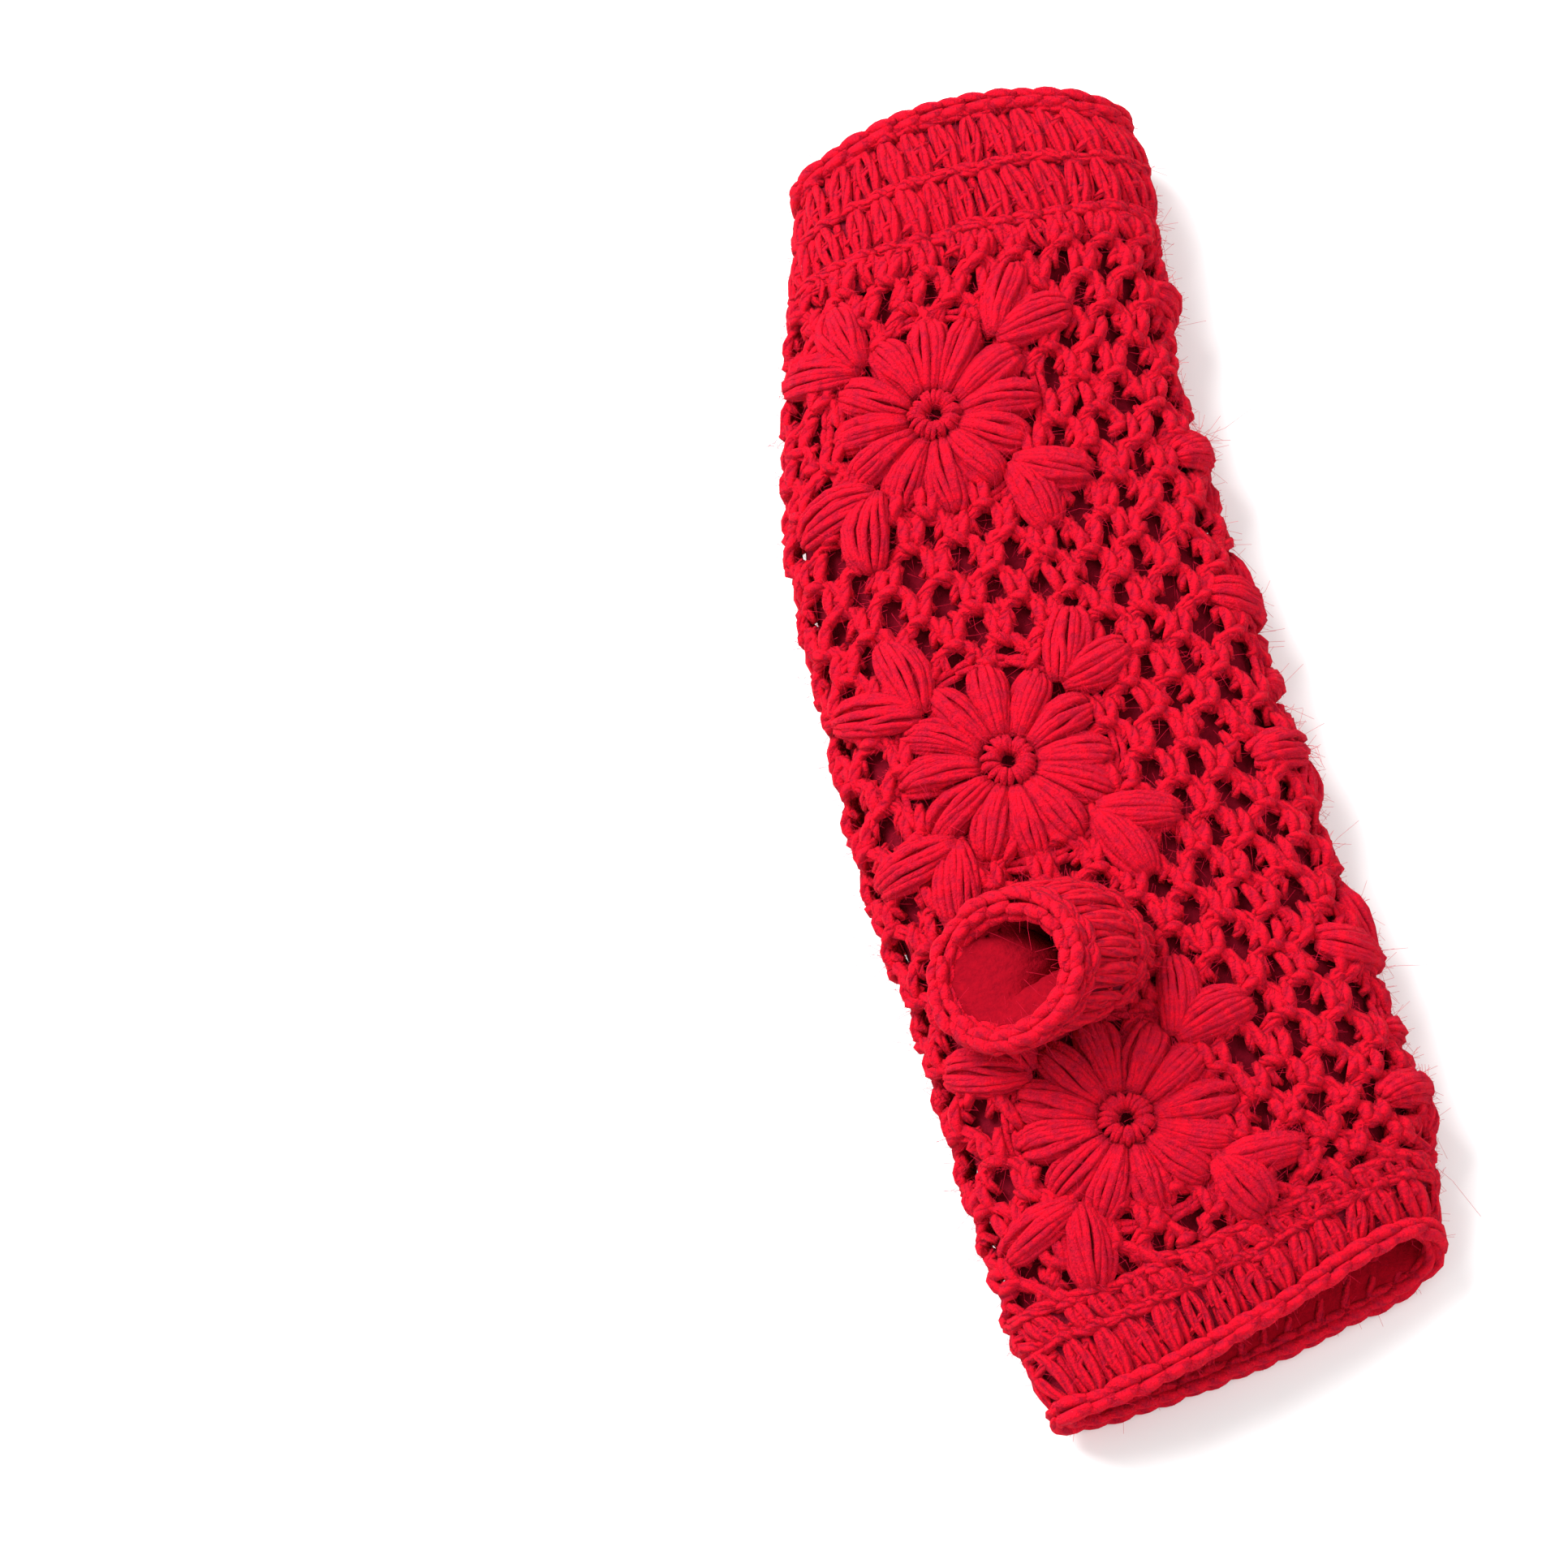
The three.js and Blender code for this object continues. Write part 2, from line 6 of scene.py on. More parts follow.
import bmesh
import bpy
import numpy as np
from bpy.props import FloatProperty, FloatVectorProperty, IntProperty, PointerProperty
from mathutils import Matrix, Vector

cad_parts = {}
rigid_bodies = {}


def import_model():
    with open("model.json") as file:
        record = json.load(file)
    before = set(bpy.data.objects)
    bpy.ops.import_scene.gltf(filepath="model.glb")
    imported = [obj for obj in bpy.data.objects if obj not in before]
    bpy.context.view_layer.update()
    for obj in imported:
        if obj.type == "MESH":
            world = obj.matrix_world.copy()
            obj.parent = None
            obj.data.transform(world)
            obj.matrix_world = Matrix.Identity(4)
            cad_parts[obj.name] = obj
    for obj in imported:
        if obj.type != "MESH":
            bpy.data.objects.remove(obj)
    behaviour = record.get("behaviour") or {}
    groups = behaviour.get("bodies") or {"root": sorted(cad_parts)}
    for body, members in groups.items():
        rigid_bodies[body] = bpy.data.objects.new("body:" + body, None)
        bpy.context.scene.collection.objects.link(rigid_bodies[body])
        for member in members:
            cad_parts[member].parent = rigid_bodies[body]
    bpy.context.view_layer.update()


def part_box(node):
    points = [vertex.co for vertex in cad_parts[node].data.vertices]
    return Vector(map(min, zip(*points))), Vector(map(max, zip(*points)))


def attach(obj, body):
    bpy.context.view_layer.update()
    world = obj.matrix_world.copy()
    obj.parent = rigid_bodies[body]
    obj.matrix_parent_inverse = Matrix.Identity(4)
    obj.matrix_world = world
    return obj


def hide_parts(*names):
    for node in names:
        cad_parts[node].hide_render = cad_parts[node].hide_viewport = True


bl_info = {
    "name": "Crochet glove",
    "version": (1, 0, 0),
    "blender": (4, 5, 0),
    "location": "View3D > Sidebar > Glove",
    "description": "Yarn, fleece and fuzz for a crocheted fingerless glove",
    "category": "Object",
}

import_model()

MM = 0.001
TAU = 2 * math.pi

# Sizes of the tube, in millimetres, as in the part's source
GLOVE_LENGTH = 272
HALF_WIDTH = 46
CROWN_HEIGHT = 23
UNDER_LIFT = 4.2
PALM_LIP_RISE = 23
BACK_LIP_RISE = 9
SLANT_POWER = 1.6
LIP_FADE = 60
ARM_ARCH = 6
ARCH_FADE = 40
NET_THICKNESS = 2.6
CUFF_THICKNESS = 4
LINING_THICKNESS = 1.3
BRAID_THICKNESS = 4.4
SEAM = 0.4
BAND_SEAM = 0.9
FACET_BULGE = 0.5
HAND_CUFF_LENGTH = 15.3
ARM_CUFF_LENGTH = 31
BRAID_WIDTH = 3.4
ARM_NET_MARGIN = 32.4
COLUMN_PITCH = 76
BACK_RISE = 10
ROWS = 3
PETALS = 12
FLOWER_RADIUS = 20.5
PETAL_HEIGHT = 5.8
LEAF_LENGTH = 16
LEAF_WIDTH = 8
LEAF_HEIGHT = 3
LEAF_SPREAD = math.radians(28)
LEAF_MARGIN = 1.2
THUMB_FROM_HAND = 85
THUMB_SIDE = 1
THUMB_ROOT = (13.5, 11.6)
THUMB_MOUTH = (16.5, 15.5)
MOUTH_SHIFT = (-15, -4)
MOUTH_RISE = 11.5
MOUTH_TILT = math.radians(30)
SLEEVE_RISE = 8.5
SLEEVE_SPREAD = 1.3
SLEEVE_WALL = 3.4
SIDE_HEIGHT = 0.42
TOP_ROUNDNESS = 2.4
UNDER_ROUNDNESS = 4.5

# Sections of the tube: share along it, then left, right, crown, lean and flower line as in the source
SECTIONS = np.array(
    [
        (0.0, -0.8, 0.93, 0.66, 0.3, -0.14),
        (0.06, -0.88, 0.98, 0.78, 0.28, -0.17),
        (0.15, -0.92, 1.0, 0.92, 0.18, -0.22),
        (0.28, -0.95, 0.96, 1.0, 0.05, -0.28),
        (0.42, -1.02, 0.91, 1.0, -0.05, -0.33),
        (0.55, -1.01, 0.89, 0.99, -0.05, -0.33),
        (0.68, -0.99, 0.86, 0.99, 0.0, -0.29),
        (0.78, -0.87, 0.87, 1.02, 0.05, -0.23),
        (0.88, -0.71, 0.95, 1.07, 0.12, -0.1),
        (0.95, -0.61, 0.99, 1.1, 0.15, -0.03),
        (1.0, -0.56, 0.96, 1.06, 0.15, 0.0),
    ]
)

HAND_EDGE = -GLOVE_LENGTH / 2
ARM_EDGE = GLOVE_LENGTH / 2
NET_HAND_END = HAND_EDGE + BRAID_WIDTH + HAND_CUFF_LENGTH + 2 * BAND_SEAM
NET_ARM_END = ARM_EDGE - BRAID_WIDTH - ARM_CUFF_LENGTH - 2 * BAND_SEAM
LEAF_ROOT = FLOWER_RADIUS - 0.5
LEAF_REACH = LEAF_ROOT * math.sqrt(0.5) + LEAF_LENGTH * math.cos(math.pi / 4 - LEAF_SPREAD)
FIRST_ROW = NET_HAND_END + LEAF_REACH + LEAF_MARGIN
LAST_ROW = NET_ARM_END - ARM_NET_MARGIN
HIGHEST_ROW = NET_ARM_END - LEAF_MARGIN - LEAF_REACH
COLUMNS = [np.minimum(np.linspace(FIRST_ROW, LAST_ROW, ROWS) + rise, HIGHEST_ROW) for rise in (0, BACK_RISE)]
THUMB_V = HAND_EDGE + THUMB_FROM_HAND
CORNERS = {"ne": (1, 1), "nw": (-1, 1), "sw": (-1, -1), "se": (1, -1)}


# The tube's surface


def section_at(v):
    """Left, right, crown, lean and flower line at one place along the tube, in millimetres."""
    shares, values = SECTIONS[:, 0], SECTIONS[:, 1:]
    t = min(max((v - HAND_EDGE) / GLOVE_LENGTH, 0.0), 1.0)
    i = min(int(np.searchsorted(shares, t, side="right")), len(shares) - 1) - 1
    t0, t1 = shares[i], shares[i + 1]
    before, t_before = (i - 1, shares[i - 1]) if i > 0 else (i + 1, 2 * t0 - t1)
    after, t_after = (i + 2, shares[i + 2]) if i + 2 < len(shares) else (i, 2 * t1 - t0)
    w0 = 0.5 * (t1 - t0) / (t0 - t_before)
    w1 = 0.5 * (t1 - t0) / (t_after - t1)
    p = (t - t0) / (t1 - t0)
    left, right, crown, lean, flower = (
        values[before] * (-w0 * p**3 + 2 * w0 * p**2 - w0 * p)
        + values[i] * ((1 + w0) * p**3 - (1.5 + 2 * w0) * p**2 + (w0 - 0.5) * p + 1)
        + values[i + 1] * ((-1 - w1) * p**3 + (1.5 + w1) * p**2 + 0.5 * p)
        + values[after] * (w1 * p**3 - w1 * p**2)
    )
    return (
        left * HALF_WIDTH + NET_THICKNESS,
        right * HALF_WIDTH - NET_THICKNESS,
        crown * CROWN_HEIGHT,
        lean,
        flower * HALF_WIDTH,
    )


OUTLINE_STEPS = 240
TABLE_ROUND = 360
TABLE_STEP = 0.5


def outline_row(v):
    """One row of the surface table: perimeter, then x, z, normal, slant and arch round the tube."""
    left, right, crown, lean, flower = section_at(v)
    centre, reach = (left + right) / 2, (right - left) / 2
    side = UNDER_LIFT + (crown - UNDER_LIFT) * SIDE_HEIGHT
    angle = math.pi - np.arange(OUTLINE_STEPS) / OUTLINE_STEPS * TAU
    c, d = np.cos(angle), np.sin(angle)
    top = d >= 0
    power = np.where(top, 2 / TOP_ROUNDNESS, 2 / UNDER_ROUNDNESS)
    q = np.sign(c) * np.abs(c) ** power
    if lean:
        leant = (-1 + np.sqrt(np.maximum(1 + 4 * lean * (lean + q), 0))) / (2 * lean)
        q = np.where(top, leant, q)
    rise = np.abs(d) ** power
    z = np.where(top, side + (crown - side) * rise, side - (side - UNDER_LIFT) * rise)
    x = centre + reach * q
    first = int(np.argmax(x >= flower))
    x, z = np.roll(x, -first), np.roll(z, -first)
    x, z = np.append(x, x[0]), np.append(z, z[0])
    lengths = np.concatenate([[0], np.cumsum(np.hypot(np.diff(x), np.diff(z)))])
    perimeter = lengths[-1]
    lengths += x[0] - flower
    u = np.linspace(0, perimeter, TABLE_ROUND, endpoint=False)
    way = lengths[0] + np.mod(u - lengths[0], perimeter)
    x, z = np.interp(way, lengths, x), np.interp(way, lengths, z)
    tx = np.roll(x, -2) - np.roll(x, 2)
    tz = np.roll(z, -2) - np.roll(z, 2)
    size = np.hypot(tx, tz)
    across = np.maximum((x - left) / (right - left), 0)
    slant = across**SLANT_POWER * (BACK_LIP_RISE + (PALM_LIP_RISE - BACK_LIP_RISE) * z / crown)
    arch = ARM_ARCH * ((x - centre) / reach) ** 2
    return perimeter, np.stack([x, z, -tz / size, tx / size, slant, arch], axis=1)


TABLE_V = np.arange(HAND_EDGE - 2, ARM_EDGE + 2 + TABLE_STEP, TABLE_STEP)
table_rows = [outline_row(v) for v in TABLE_V]
PERIMETERS = np.array([perimeter for perimeter, _ in table_rows])
SURFACE = np.stack([row for _, row in table_rows])


def smooth(t):
    t = np.clip(t, 0, 1)
    return t * t * (3 - 2 * t)


def perimeter_at(v):
    return np.interp(v, TABLE_V, PERIMETERS)


def on_tube(u, v, n):
    """Points u millimetres round from the flower line, v along the tube and n over the net's inside."""
    u, v, n = np.broadcast_arrays(*(np.asarray(a, float) for a in (u, v, n)))
    row = np.clip((v - TABLE_V[0]) / TABLE_STEP, 0, len(TABLE_V) - 1.001)
    place = np.mod(u / perimeter_at(v), 1) * TABLE_ROUND
    r0, c0 = row.astype(int), place.astype(int) % TABLE_ROUND
    fr, fc = (row - r0)[..., None], (place - np.floor(place))[..., None]
    c1 = (c0 + 1) % TABLE_ROUND
    low = SURFACE[r0, c0] * (1 - fc) + SURFACE[r0, c1] * fc
    high = SURFACE[r0 + 1, c0] * (1 - fc) + SURFACE[r0 + 1, c1] * fc
    x, z, nx, nz, slant, arch = np.moveaxis(low * (1 - fr) + high * fr, -1, 0)
    y = v + slant * smooth(1 - (v - HAND_EDGE) / LIP_FADE) - arch * smooth(1 - (ARM_EDGE - v) / ARCH_FADE)
    return np.stack([x + nx * n, y, np.maximum(z + nz * n, 0)], axis=-1)


def on_square(column, centre, du, dv, n):
    """The same from a flower's centre on one of the columns."""
    return on_tube(column * COLUMN_PITCH + du, centre + np.asarray(dv, float), n)


def from_column(column, u, v):
    """Way round from a column's flower line to u, the shorter way."""
    perimeter = perimeter_at(v)
    return np.mod(u - column * COLUMN_PITCH + perimeter / 2, perimeter) - perimeter / 2


# Points of a braid in the part's source: even ones round it, one more at each side, and its shoulders
BRAID_POINTS = 22
SIDE_POINTS = (0.318, 0.818)
BRAID_SHOULDER = 0.75


def frame_shift():
    """Shift from the tube's own centre to the frame's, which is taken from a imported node."""
    shares = np.sort(np.append((np.arange(BRAID_POINTS) + 0.5) / BRAID_POINTS, SIDE_POINTS))
    edge = np.array([ARM_EDGE, ARM_EDGE - BRAID_WIDTH / 2, ARM_EDGE - BRAID_WIDTH])
    heights = BRAID_THICKNESS * np.array([BRAID_SHOULDER, 1, BRAID_SHOULDER])
    points = np.concatenate([on_tube(shares * perimeter_at(v), v, n) for v, n in zip(edge, heights)])
    low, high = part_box("arm_braid")
    return (np.array(low) + np.array(high)) / 2 - (points.min(0) + points.max(0)) / 2 * MM


SHIFT = frame_shift() * (1, 1, 0)


# Yarn


class Yarn:
    """Strands collected as lines of points in millimetres, each with its radii."""

    def __init__(self):
        self.lines = []

    def add(self, points, radii):
        points = np.array(points)
        radii = np.broadcast_to(radii, len(points))
        points[:, 2] = np.maximum(points[:, 2], radii - SHIFT[2] / MM)
        self.lines.append((points, radii))

    def mesh(self, name, sides):
        """All strands as one mesh of closed round tubes with UVs round and along each strand."""
        scene = bpy.context.scene
        turns = np.arange(sides) / sides * TAU
        ring = bpy.data.curves.new(name + "_ring", "CURVE")
        ring.dimensions = "3D"
        edge = ring.splines.new("POLY")
        edge.points.add(sides - 1)
        edge.use_cyclic_u = True
        rim = np.stack([np.cos(turns), np.sin(turns), 0 * turns, 1 + 0 * turns], axis=1)
        edge.points.foreach_set("co", rim.astype(np.float32).ravel())
        curve = bpy.data.curves.new(name, "CURVE")
        curve.dimensions = "3D"
        for points, radii in self.lines:
            spline = curve.splines.new("POLY")
            spline.points.add(len(points) - 1)
            homogeneous = np.ones((len(points), 4), np.float32)
            homogeneous[:, :3] = points * MM + SHIFT
            spline.points.foreach_set("co", homogeneous.ravel())
            spline.points.foreach_set("radius", (radii * MM).astype(np.float32))
        profile = bpy.data.objects.new(name + "_ring", ring)
        holder = bpy.data.objects.new(name + "_line", curve)
        for thing in (profile, holder):
            scene.collection.objects.link(thing)
        curve.bevel_mode = "OBJECT"
        curve.bevel_object = profile
        curve.use_fill_caps = True
        graph = bpy.context.evaluated_depsgraph_get()
        mesh = bpy.data.meshes.new_from_object(holder.evaluated_get(graph))
        for thing, data in ((holder, curve), (profile, ring)):
            bpy.data.objects.remove(thing)
            bpy.data.curves.remove(data)
        tubes = bmesh.new()
        tubes.from_mesh(mesh)
        bmesh.ops.remove_doubles(tubes, verts=tubes.verts, dist=1e-7)
        bmesh.ops.recalc_face_normals(tubes, faces=tubes.faces)
        for face in tubes.faces:
            face.smooth = True
        tubes.to_mesh(mesh)
        tubes.free()
        mesh.name = name
        return mesh


def piece(name, mesh, slot, nodes, *materials):
    """Adds a finished mesh as a piece that rides on the root and stands for CAD nodes."""
    made = bpy.data.objects.new(name, mesh)
    for place, material in enumerate(materials):
        if place == len(mesh.materials):
            mesh.materials.append(material)
        mesh.materials[place] = material
    bpy.context.scene.collection.objects.link(made)
    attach(made, "root")
    if nodes:
        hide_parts(*nodes)
    return made


# Stitches

# Half width and height of a puff along it, as shares of the most: narrow root, round tip that dives
PETAL_PROFILE = np.array(
    [
        (0.0, 0.38, 0.42),
        (0.12, 0.5, 0.68),
        (0.3, 0.74, 0.9),
        (0.5, 0.95, 1.0),
        (0.7, 1.0, 1.0),
        (0.85, 0.88, 0.86),
        (0.95, 0.66, 0.56),
        (1.0, 0.46, 0.18),
    ]
)
LEAF_PROFILE = np.array(
    [
        (0.0, 0.36, 0.4),
        (0.12, 0.62, 0.7),
        (0.3, 0.88, 0.95),
        (0.5, 1.0, 1.0),
        (0.7, 0.97, 0.96),
        (0.85, 0.82, 0.78),
        (0.95, 0.6, 0.48),
        (1.0, 0.42, 0.1),
    ]
)
PUFF_SPREAD = math.radians(88)
CORE_THICKNESS = 0.36


def puff(yarn, place, profile, strands, width, height, radius, draw):
    """One puff stitch: strands drawn side by side over three thick ones that fill it.
    place(t, side, n) maps a share of the length, millimetres to the side and a height to a point."""
    t, wide, tall = profile.T
    bend = draw.normal(0, 0.5) * np.sin(math.pi * t) + draw.normal(0, 0.35) * t
    for j in range(strands):
        turn = PUFF_SPREAD * (2 * j / (strands - 1) - 1) + draw.normal(0, 0.07)
        twist = turn + draw.normal(0, 0.14) * np.cos(math.pi * t + draw.normal(0, 0.5))
        fullness = 1 + draw.normal(0, 0.045)
        side = bend + (width / 2 - radius) * wide * np.sin(twist) * fullness
        lift = (height - radius) * tall * np.maximum(np.cos(twist), 0) ** 0.8 * fullness
        wander = draw.normal(0, 0.09, t.size)
        thick = radius * (0.84 + 0.2 * tall) * (1 + draw.normal(0, 0.08))
        reach = t * (1 + draw.normal(0, 0.02))
        yarn.add(place(reach, side + wander, lift), thick)
    for j in (-1, 0, 1):
        core = CORE_THICKNESS * height
        yarn.add(place(t, bend + j * 0.22 * width * wide, core * tall), core * np.minimum(tall, wide))


def chain(yarn, place, links, width, radius, draw):
    """A row of chain stitches, each a pair of strands that open like a V over the one before.
    place(s, side, lift) maps a count of links, millimetres to the side and a lift to a point."""
    t = np.linspace(0, 1, 7)
    for k in range(links):
        for hand in (-1, 1):
            s = k - 0.3 + 1.5 * t + draw.normal(0, 0.06)
            open_ = 0.2 + 0.8 * np.sin(math.pi * (0.1 + 0.82 * t))
            side = hand * (width / 2 - radius) * open_ + draw.normal(0, 0.14 * radius)
            lift = radius * (-0.9 + 1.3 * t + 0.6 * np.sin(math.pi * t) + draw.normal(0, 0.14))
            thick = radius * (0.68 + 0.42 * np.sin(math.pi * t)) * (1 + draw.normal(0, 0.06))
            yarn.add(place(s, side, lift), thick)


def tall_stitch(yarn, place, height, width, radius, draw):
    """A tall stitch: a drop of two plump strands that slants over the row, with one strand behind,
    one drawn across it and the loop of its top. place(side, along, lift) maps millimetres."""
    t = np.linspace(0, 1, 7)
    bow = np.sin(math.pi * t)
    slope = width * (0.5 - t) * (0.55 + draw.normal(0, 0.25))
    along = height * (-0.08 + 1.1 * t) + draw.normal(0, 0.3)
    fat = radius * (1 + draw.normal(0, 0.08))
    for hand in (-1, 1):
        side = slope + hand * width * 0.21 * bow**0.7 + draw.normal(0, 0.15)
        lift = fat * (-0.1 + 0.85 * bow) + draw.normal(0, 0.15)
        yarn.add(place(side, along + hand * draw.normal(0, 0.3), lift), fat * (0.66 + 0.3 * bow))
    side = slope + width * (0.5 + draw.normal(0, 0.05))
    yarn.add(place(side, along, fat * (-0.9 + 0.6 * bow)), fat * 0.9)
    s = np.linspace(0, 1, 5)
    hump = np.sin(math.pi * s)
    middle = height * (0.45 + draw.normal(0, 0.1))
    side = width * (0.45 - 0.9 * s)
    steep = height * (0.3 + draw.normal(0, 0.08)) * (s - 0.5)
    yarn.add(place(side, middle - steep, fat * (-0.1 + 1.0 * hump)), fat * (0.5 + 0.2 * hump))
    side = -width * 0.3 + width * (0.8 * s - 0.3) + draw.normal(0, 0.2)
    top = height * (0.92 + 0.1 * hump) + draw.normal(0, 0.25)
    yarn.add(place(side, top, fat * (-0.1 + 0.9 * hump)), fat * (0.6 + 0.3 * hump))


# Materials


def linear(hex_colour):
    """An sRGB hex colour as linear RGBA."""
    parts = [int(hex_colour[i : i + 2], 16) / 255 for i in (1, 3, 5)]
    return [c / 12.92 if c <= 0.04045 else ((c + 0.055) / 1.055) ** 2.4 for c in parts] + [1.0]


def node(tree, kind, settings=None, inputs=None):
    """Adds a node with its settings, and its inputs set to values or linked to sockets."""
    made = tree.nodes.new(kind)
    for key, value in (settings or {}).items():
        setattr(made, key, value)
    for key, value in (inputs or {}).items():
        if isinstance(value, bpy.types.NodeSocket):
            tree.links.new(value, made.inputs[key])
        else:
            made.inputs[key].default_value = value
    return made


def colour_of(value):
    """Linear colour of a hex value, or of one of the glove's own colours by its name."""
    if value.startswith("#"):
        return linear(value)
    return tuple(getattr(bpy.context.scene.glove_sizes, value))


def new_material(name):
    made = bpy.data.materials.new(name)
    made.use_nodes = True
    made.node_tree.nodes.clear()
    return made, made.node_tree


def finish(tree, colour, bump, settings):
    """Ends a material's tree in one shader with the constants given."""
    inputs = {"Base Color": colour, **settings}
    if bump:
        inputs["Normal"] = bump.outputs[0]
    shader = node(tree, "ShaderNodeBsdfPrincipled", inputs=inputs)
    node(tree, "ShaderNodeOutputMaterial", inputs={"Surface": shader.outputs[0]})


# Dyed wool is mottled every two millimetres. Its fibres are a thirtieth of a millimetre thick, too fine
# to show, so they are drawn half a millimetre wide.
MOTTLES_PER_METRE = 520.0
HAIRS_PER_METRE = 1900.0


def wool(name, crest, shade, relief, twists):
    """Loosely spun sheep's wool, dyed red: matt, with fibres that run along each strand, two plies
    that wind round each other and hairs that soften its edges. Its colour is mottled, as dyed yarn
    is, and mixed by the same pattern that raises its relief, so it is darker in the grooves between
    plies and fibres, which is painted shade."""
    made, tree = new_material(name)
    place = node(tree, "ShaderNodeTexCoord")
    stretch = node(
        tree,
        "ShaderNodeMapping",
        inputs={"Vector": place.outputs["UV"], "Scale": (4.0, 1.4, 1.0), "Rotation": (0, 0, 0.12)},
    )
    fibres = node(
        tree,
        "ShaderNodeTexNoise",
        {"noise_dimensions": "2D"},
        {"Vector": stretch.outputs[0], "Scale": 3.0, "Detail": 3.0, "Roughness": 0.6},
    )
    mottle = node(
        tree,
        "ShaderNodeTexNoise",
        inputs={
            "Vector": place.outputs["Object"],
            "Scale": MOTTLES_PER_METRE,
            "Detail": 2.0,
            "Roughness": 0.5,
        },
    )
    hairs = node(
        tree,
        "ShaderNodeTexNoise",
        inputs={
            "Vector": place.outputs["Object"],
            "Scale": HAIRS_PER_METRE,
            "Detail": 3.0,
            "Roughness": 0.75,
        },
    )
    winding = node(
        tree,
        "ShaderNodeVectorMath",
        {"operation": "DOT_PRODUCT"},
        {0: place.outputs["UV"], 1: (TAU, twists * math.pi, 0)},
    )
    wave = node(tree, "ShaderNodeMath", {"operation": "SINE"}, {0: winding.outputs["Value"]})
    ply = node(tree, "ShaderNodeMath", {"operation": "ABSOLUTE"}, {0: wave.outputs[0]})
    mixed = node(
        tree, "ShaderNodeMath", {"operation": "ADD"}, {0: fibres.outputs["Fac"], 1: mottle.outputs["Fac"]}
    )
    weighed = node(
        tree,
        "ShaderNodeMath",
        {"operation": "MULTIPLY_ADD"},
        {0: ply.outputs[0], 1: 0.25 if twists else 0.0, 2: mixed.outputs[0]},
    )
    # Colour mixed by the relief's own pattern: random mottle, with painted shade in the grooves between plies
    # and fibres
    tone = node(tree, "ShaderNodeMapRange", inputs={"Value": weighed.outputs[0], 1: 0.72, 2: 1.32})
    colour = node(
        tree,
        "ShaderNodeMix",
        {"data_type": "RGBA"},
        {0: tone.outputs[0], 6: colour_of(shade), 7: colour_of(crest)},
    )
    rough = node(
        tree,
        "ShaderNodeMath",
        {"operation": "MULTIPLY_ADD"},
        {0: hairs.outputs["Fac"], 1: 1.8, 2: mixed.outputs[0]},
    )
    height = node(
        tree,
        "ShaderNodeMath",
        {"operation": "MULTIPLY_ADD"},
        {0: ply.outputs[0], 1: 1.6 if twists else 0.0, 2: rough.outputs[0]},
    )
    bump = node(
        tree, "ShaderNodeBump", inputs={"Strength": relief, "Distance": 0.0005, "Height": height.outputs[0]}
    )
    finish(
        tree,
        colour.outputs[2],
        bump,
        {
            "Roughness": 0.95,
            "Specular IOR Level": 0.12,
            "Sheen Weight": 0.15,
            "Sheen Roughness": 0.6,
            "Sheen Tint": linear("#ff2848"),
        },
    )
    return made


def fleece(name, crest, shade, curl):
    """Knitted polyester fleece, brushed to a nap of curls about a millimetre across: soft and dull.
    Its colour follows the curls' relief, darker between the curls, which is painted shade."""
    made, tree = new_material(name)
    place = node(tree, "ShaderNodeTexCoord")
    curls = node(
        tree,
        "ShaderNodeTexNoise",
        inputs={"Vector": place.outputs["Object"], "Scale": 1 / curl, "Detail": 4.0, "Roughness": 0.65},
    )
    # Painted shade: the noise that raises the curls also darkens the colour in their hollows
    colour = node(
        tree,
        "ShaderNodeMix",
        {"data_type": "RGBA"},
        {0: curls.outputs["Fac"], 6: colour_of(shade), 7: colour_of(crest)},
    )
    bump = node(
        tree, "ShaderNodeBump", inputs={"Strength": 0.8, "Distance": curl / 2, "Height": curls.outputs["Fac"]}
    )
    finish(tree, colour.outputs[2], bump, {"Roughness": 1.0, "Specular IOR Level": 0.02})
    return made


def paper(name, colour):
    """Matt white paper under the glove."""
    made, tree = new_material(name)
    finish(tree, linear(colour), None, {"Roughness": 0.9, "Specular IOR Level": 0.1})
    return made


# Each finish: crest and shade colours, then a wool's relief and winding or a fleece's size of curl
FLEECE_CURL = 0.0012
FINISHES = {
    "spun_wool_puffs": (wool, "puff_colour", "#b40a2c", 1.0, 0),
    "spun_wool_net": (wool, "net_colour", "#a80a2c", 1.0, 3),
    "spun_wool_cuff": (wool, "net_colour", "#a40a2c", 1.0, 4),
    "spun_wool_braid": (wool, "#e40626", "#ac0a2c", 1.0, 2),
    # Ground under the cuffs' and thumb's stitches: the same red wool painted darker, as shade between the
    # stitches
    "wool_ground": (wool, "#a00a28", "#640a22", 1.0, 0),
    "loose_wool_fibres": (wool, "#dc1438", "#b81030", 0.1, 0),
    "brushed_fleece": (fleece, "fleece_colour", "#7c0818", FLEECE_CURL),
    # Fleece inside the thumb: the lining's fleece painted darker, as shade deep in the sleeve
    "deep_fleece": (fleece, "#a40a1c", "#6a0616", FLEECE_CURL),
    # Outer face of the lining, seen through the net's holes: the same fleece painted dark, as the shade
    # behind the net
    "fleece_back": (fleece, "#860c20", "#520a18", FLEECE_CURL),
}


def get_material(name):
    """One of the finishes, made at its first use."""
    make, *values = FINISHES[name]
    return bpy.data.materials.get(name) or make(name, *values)


# Sizes and colours that a user would change


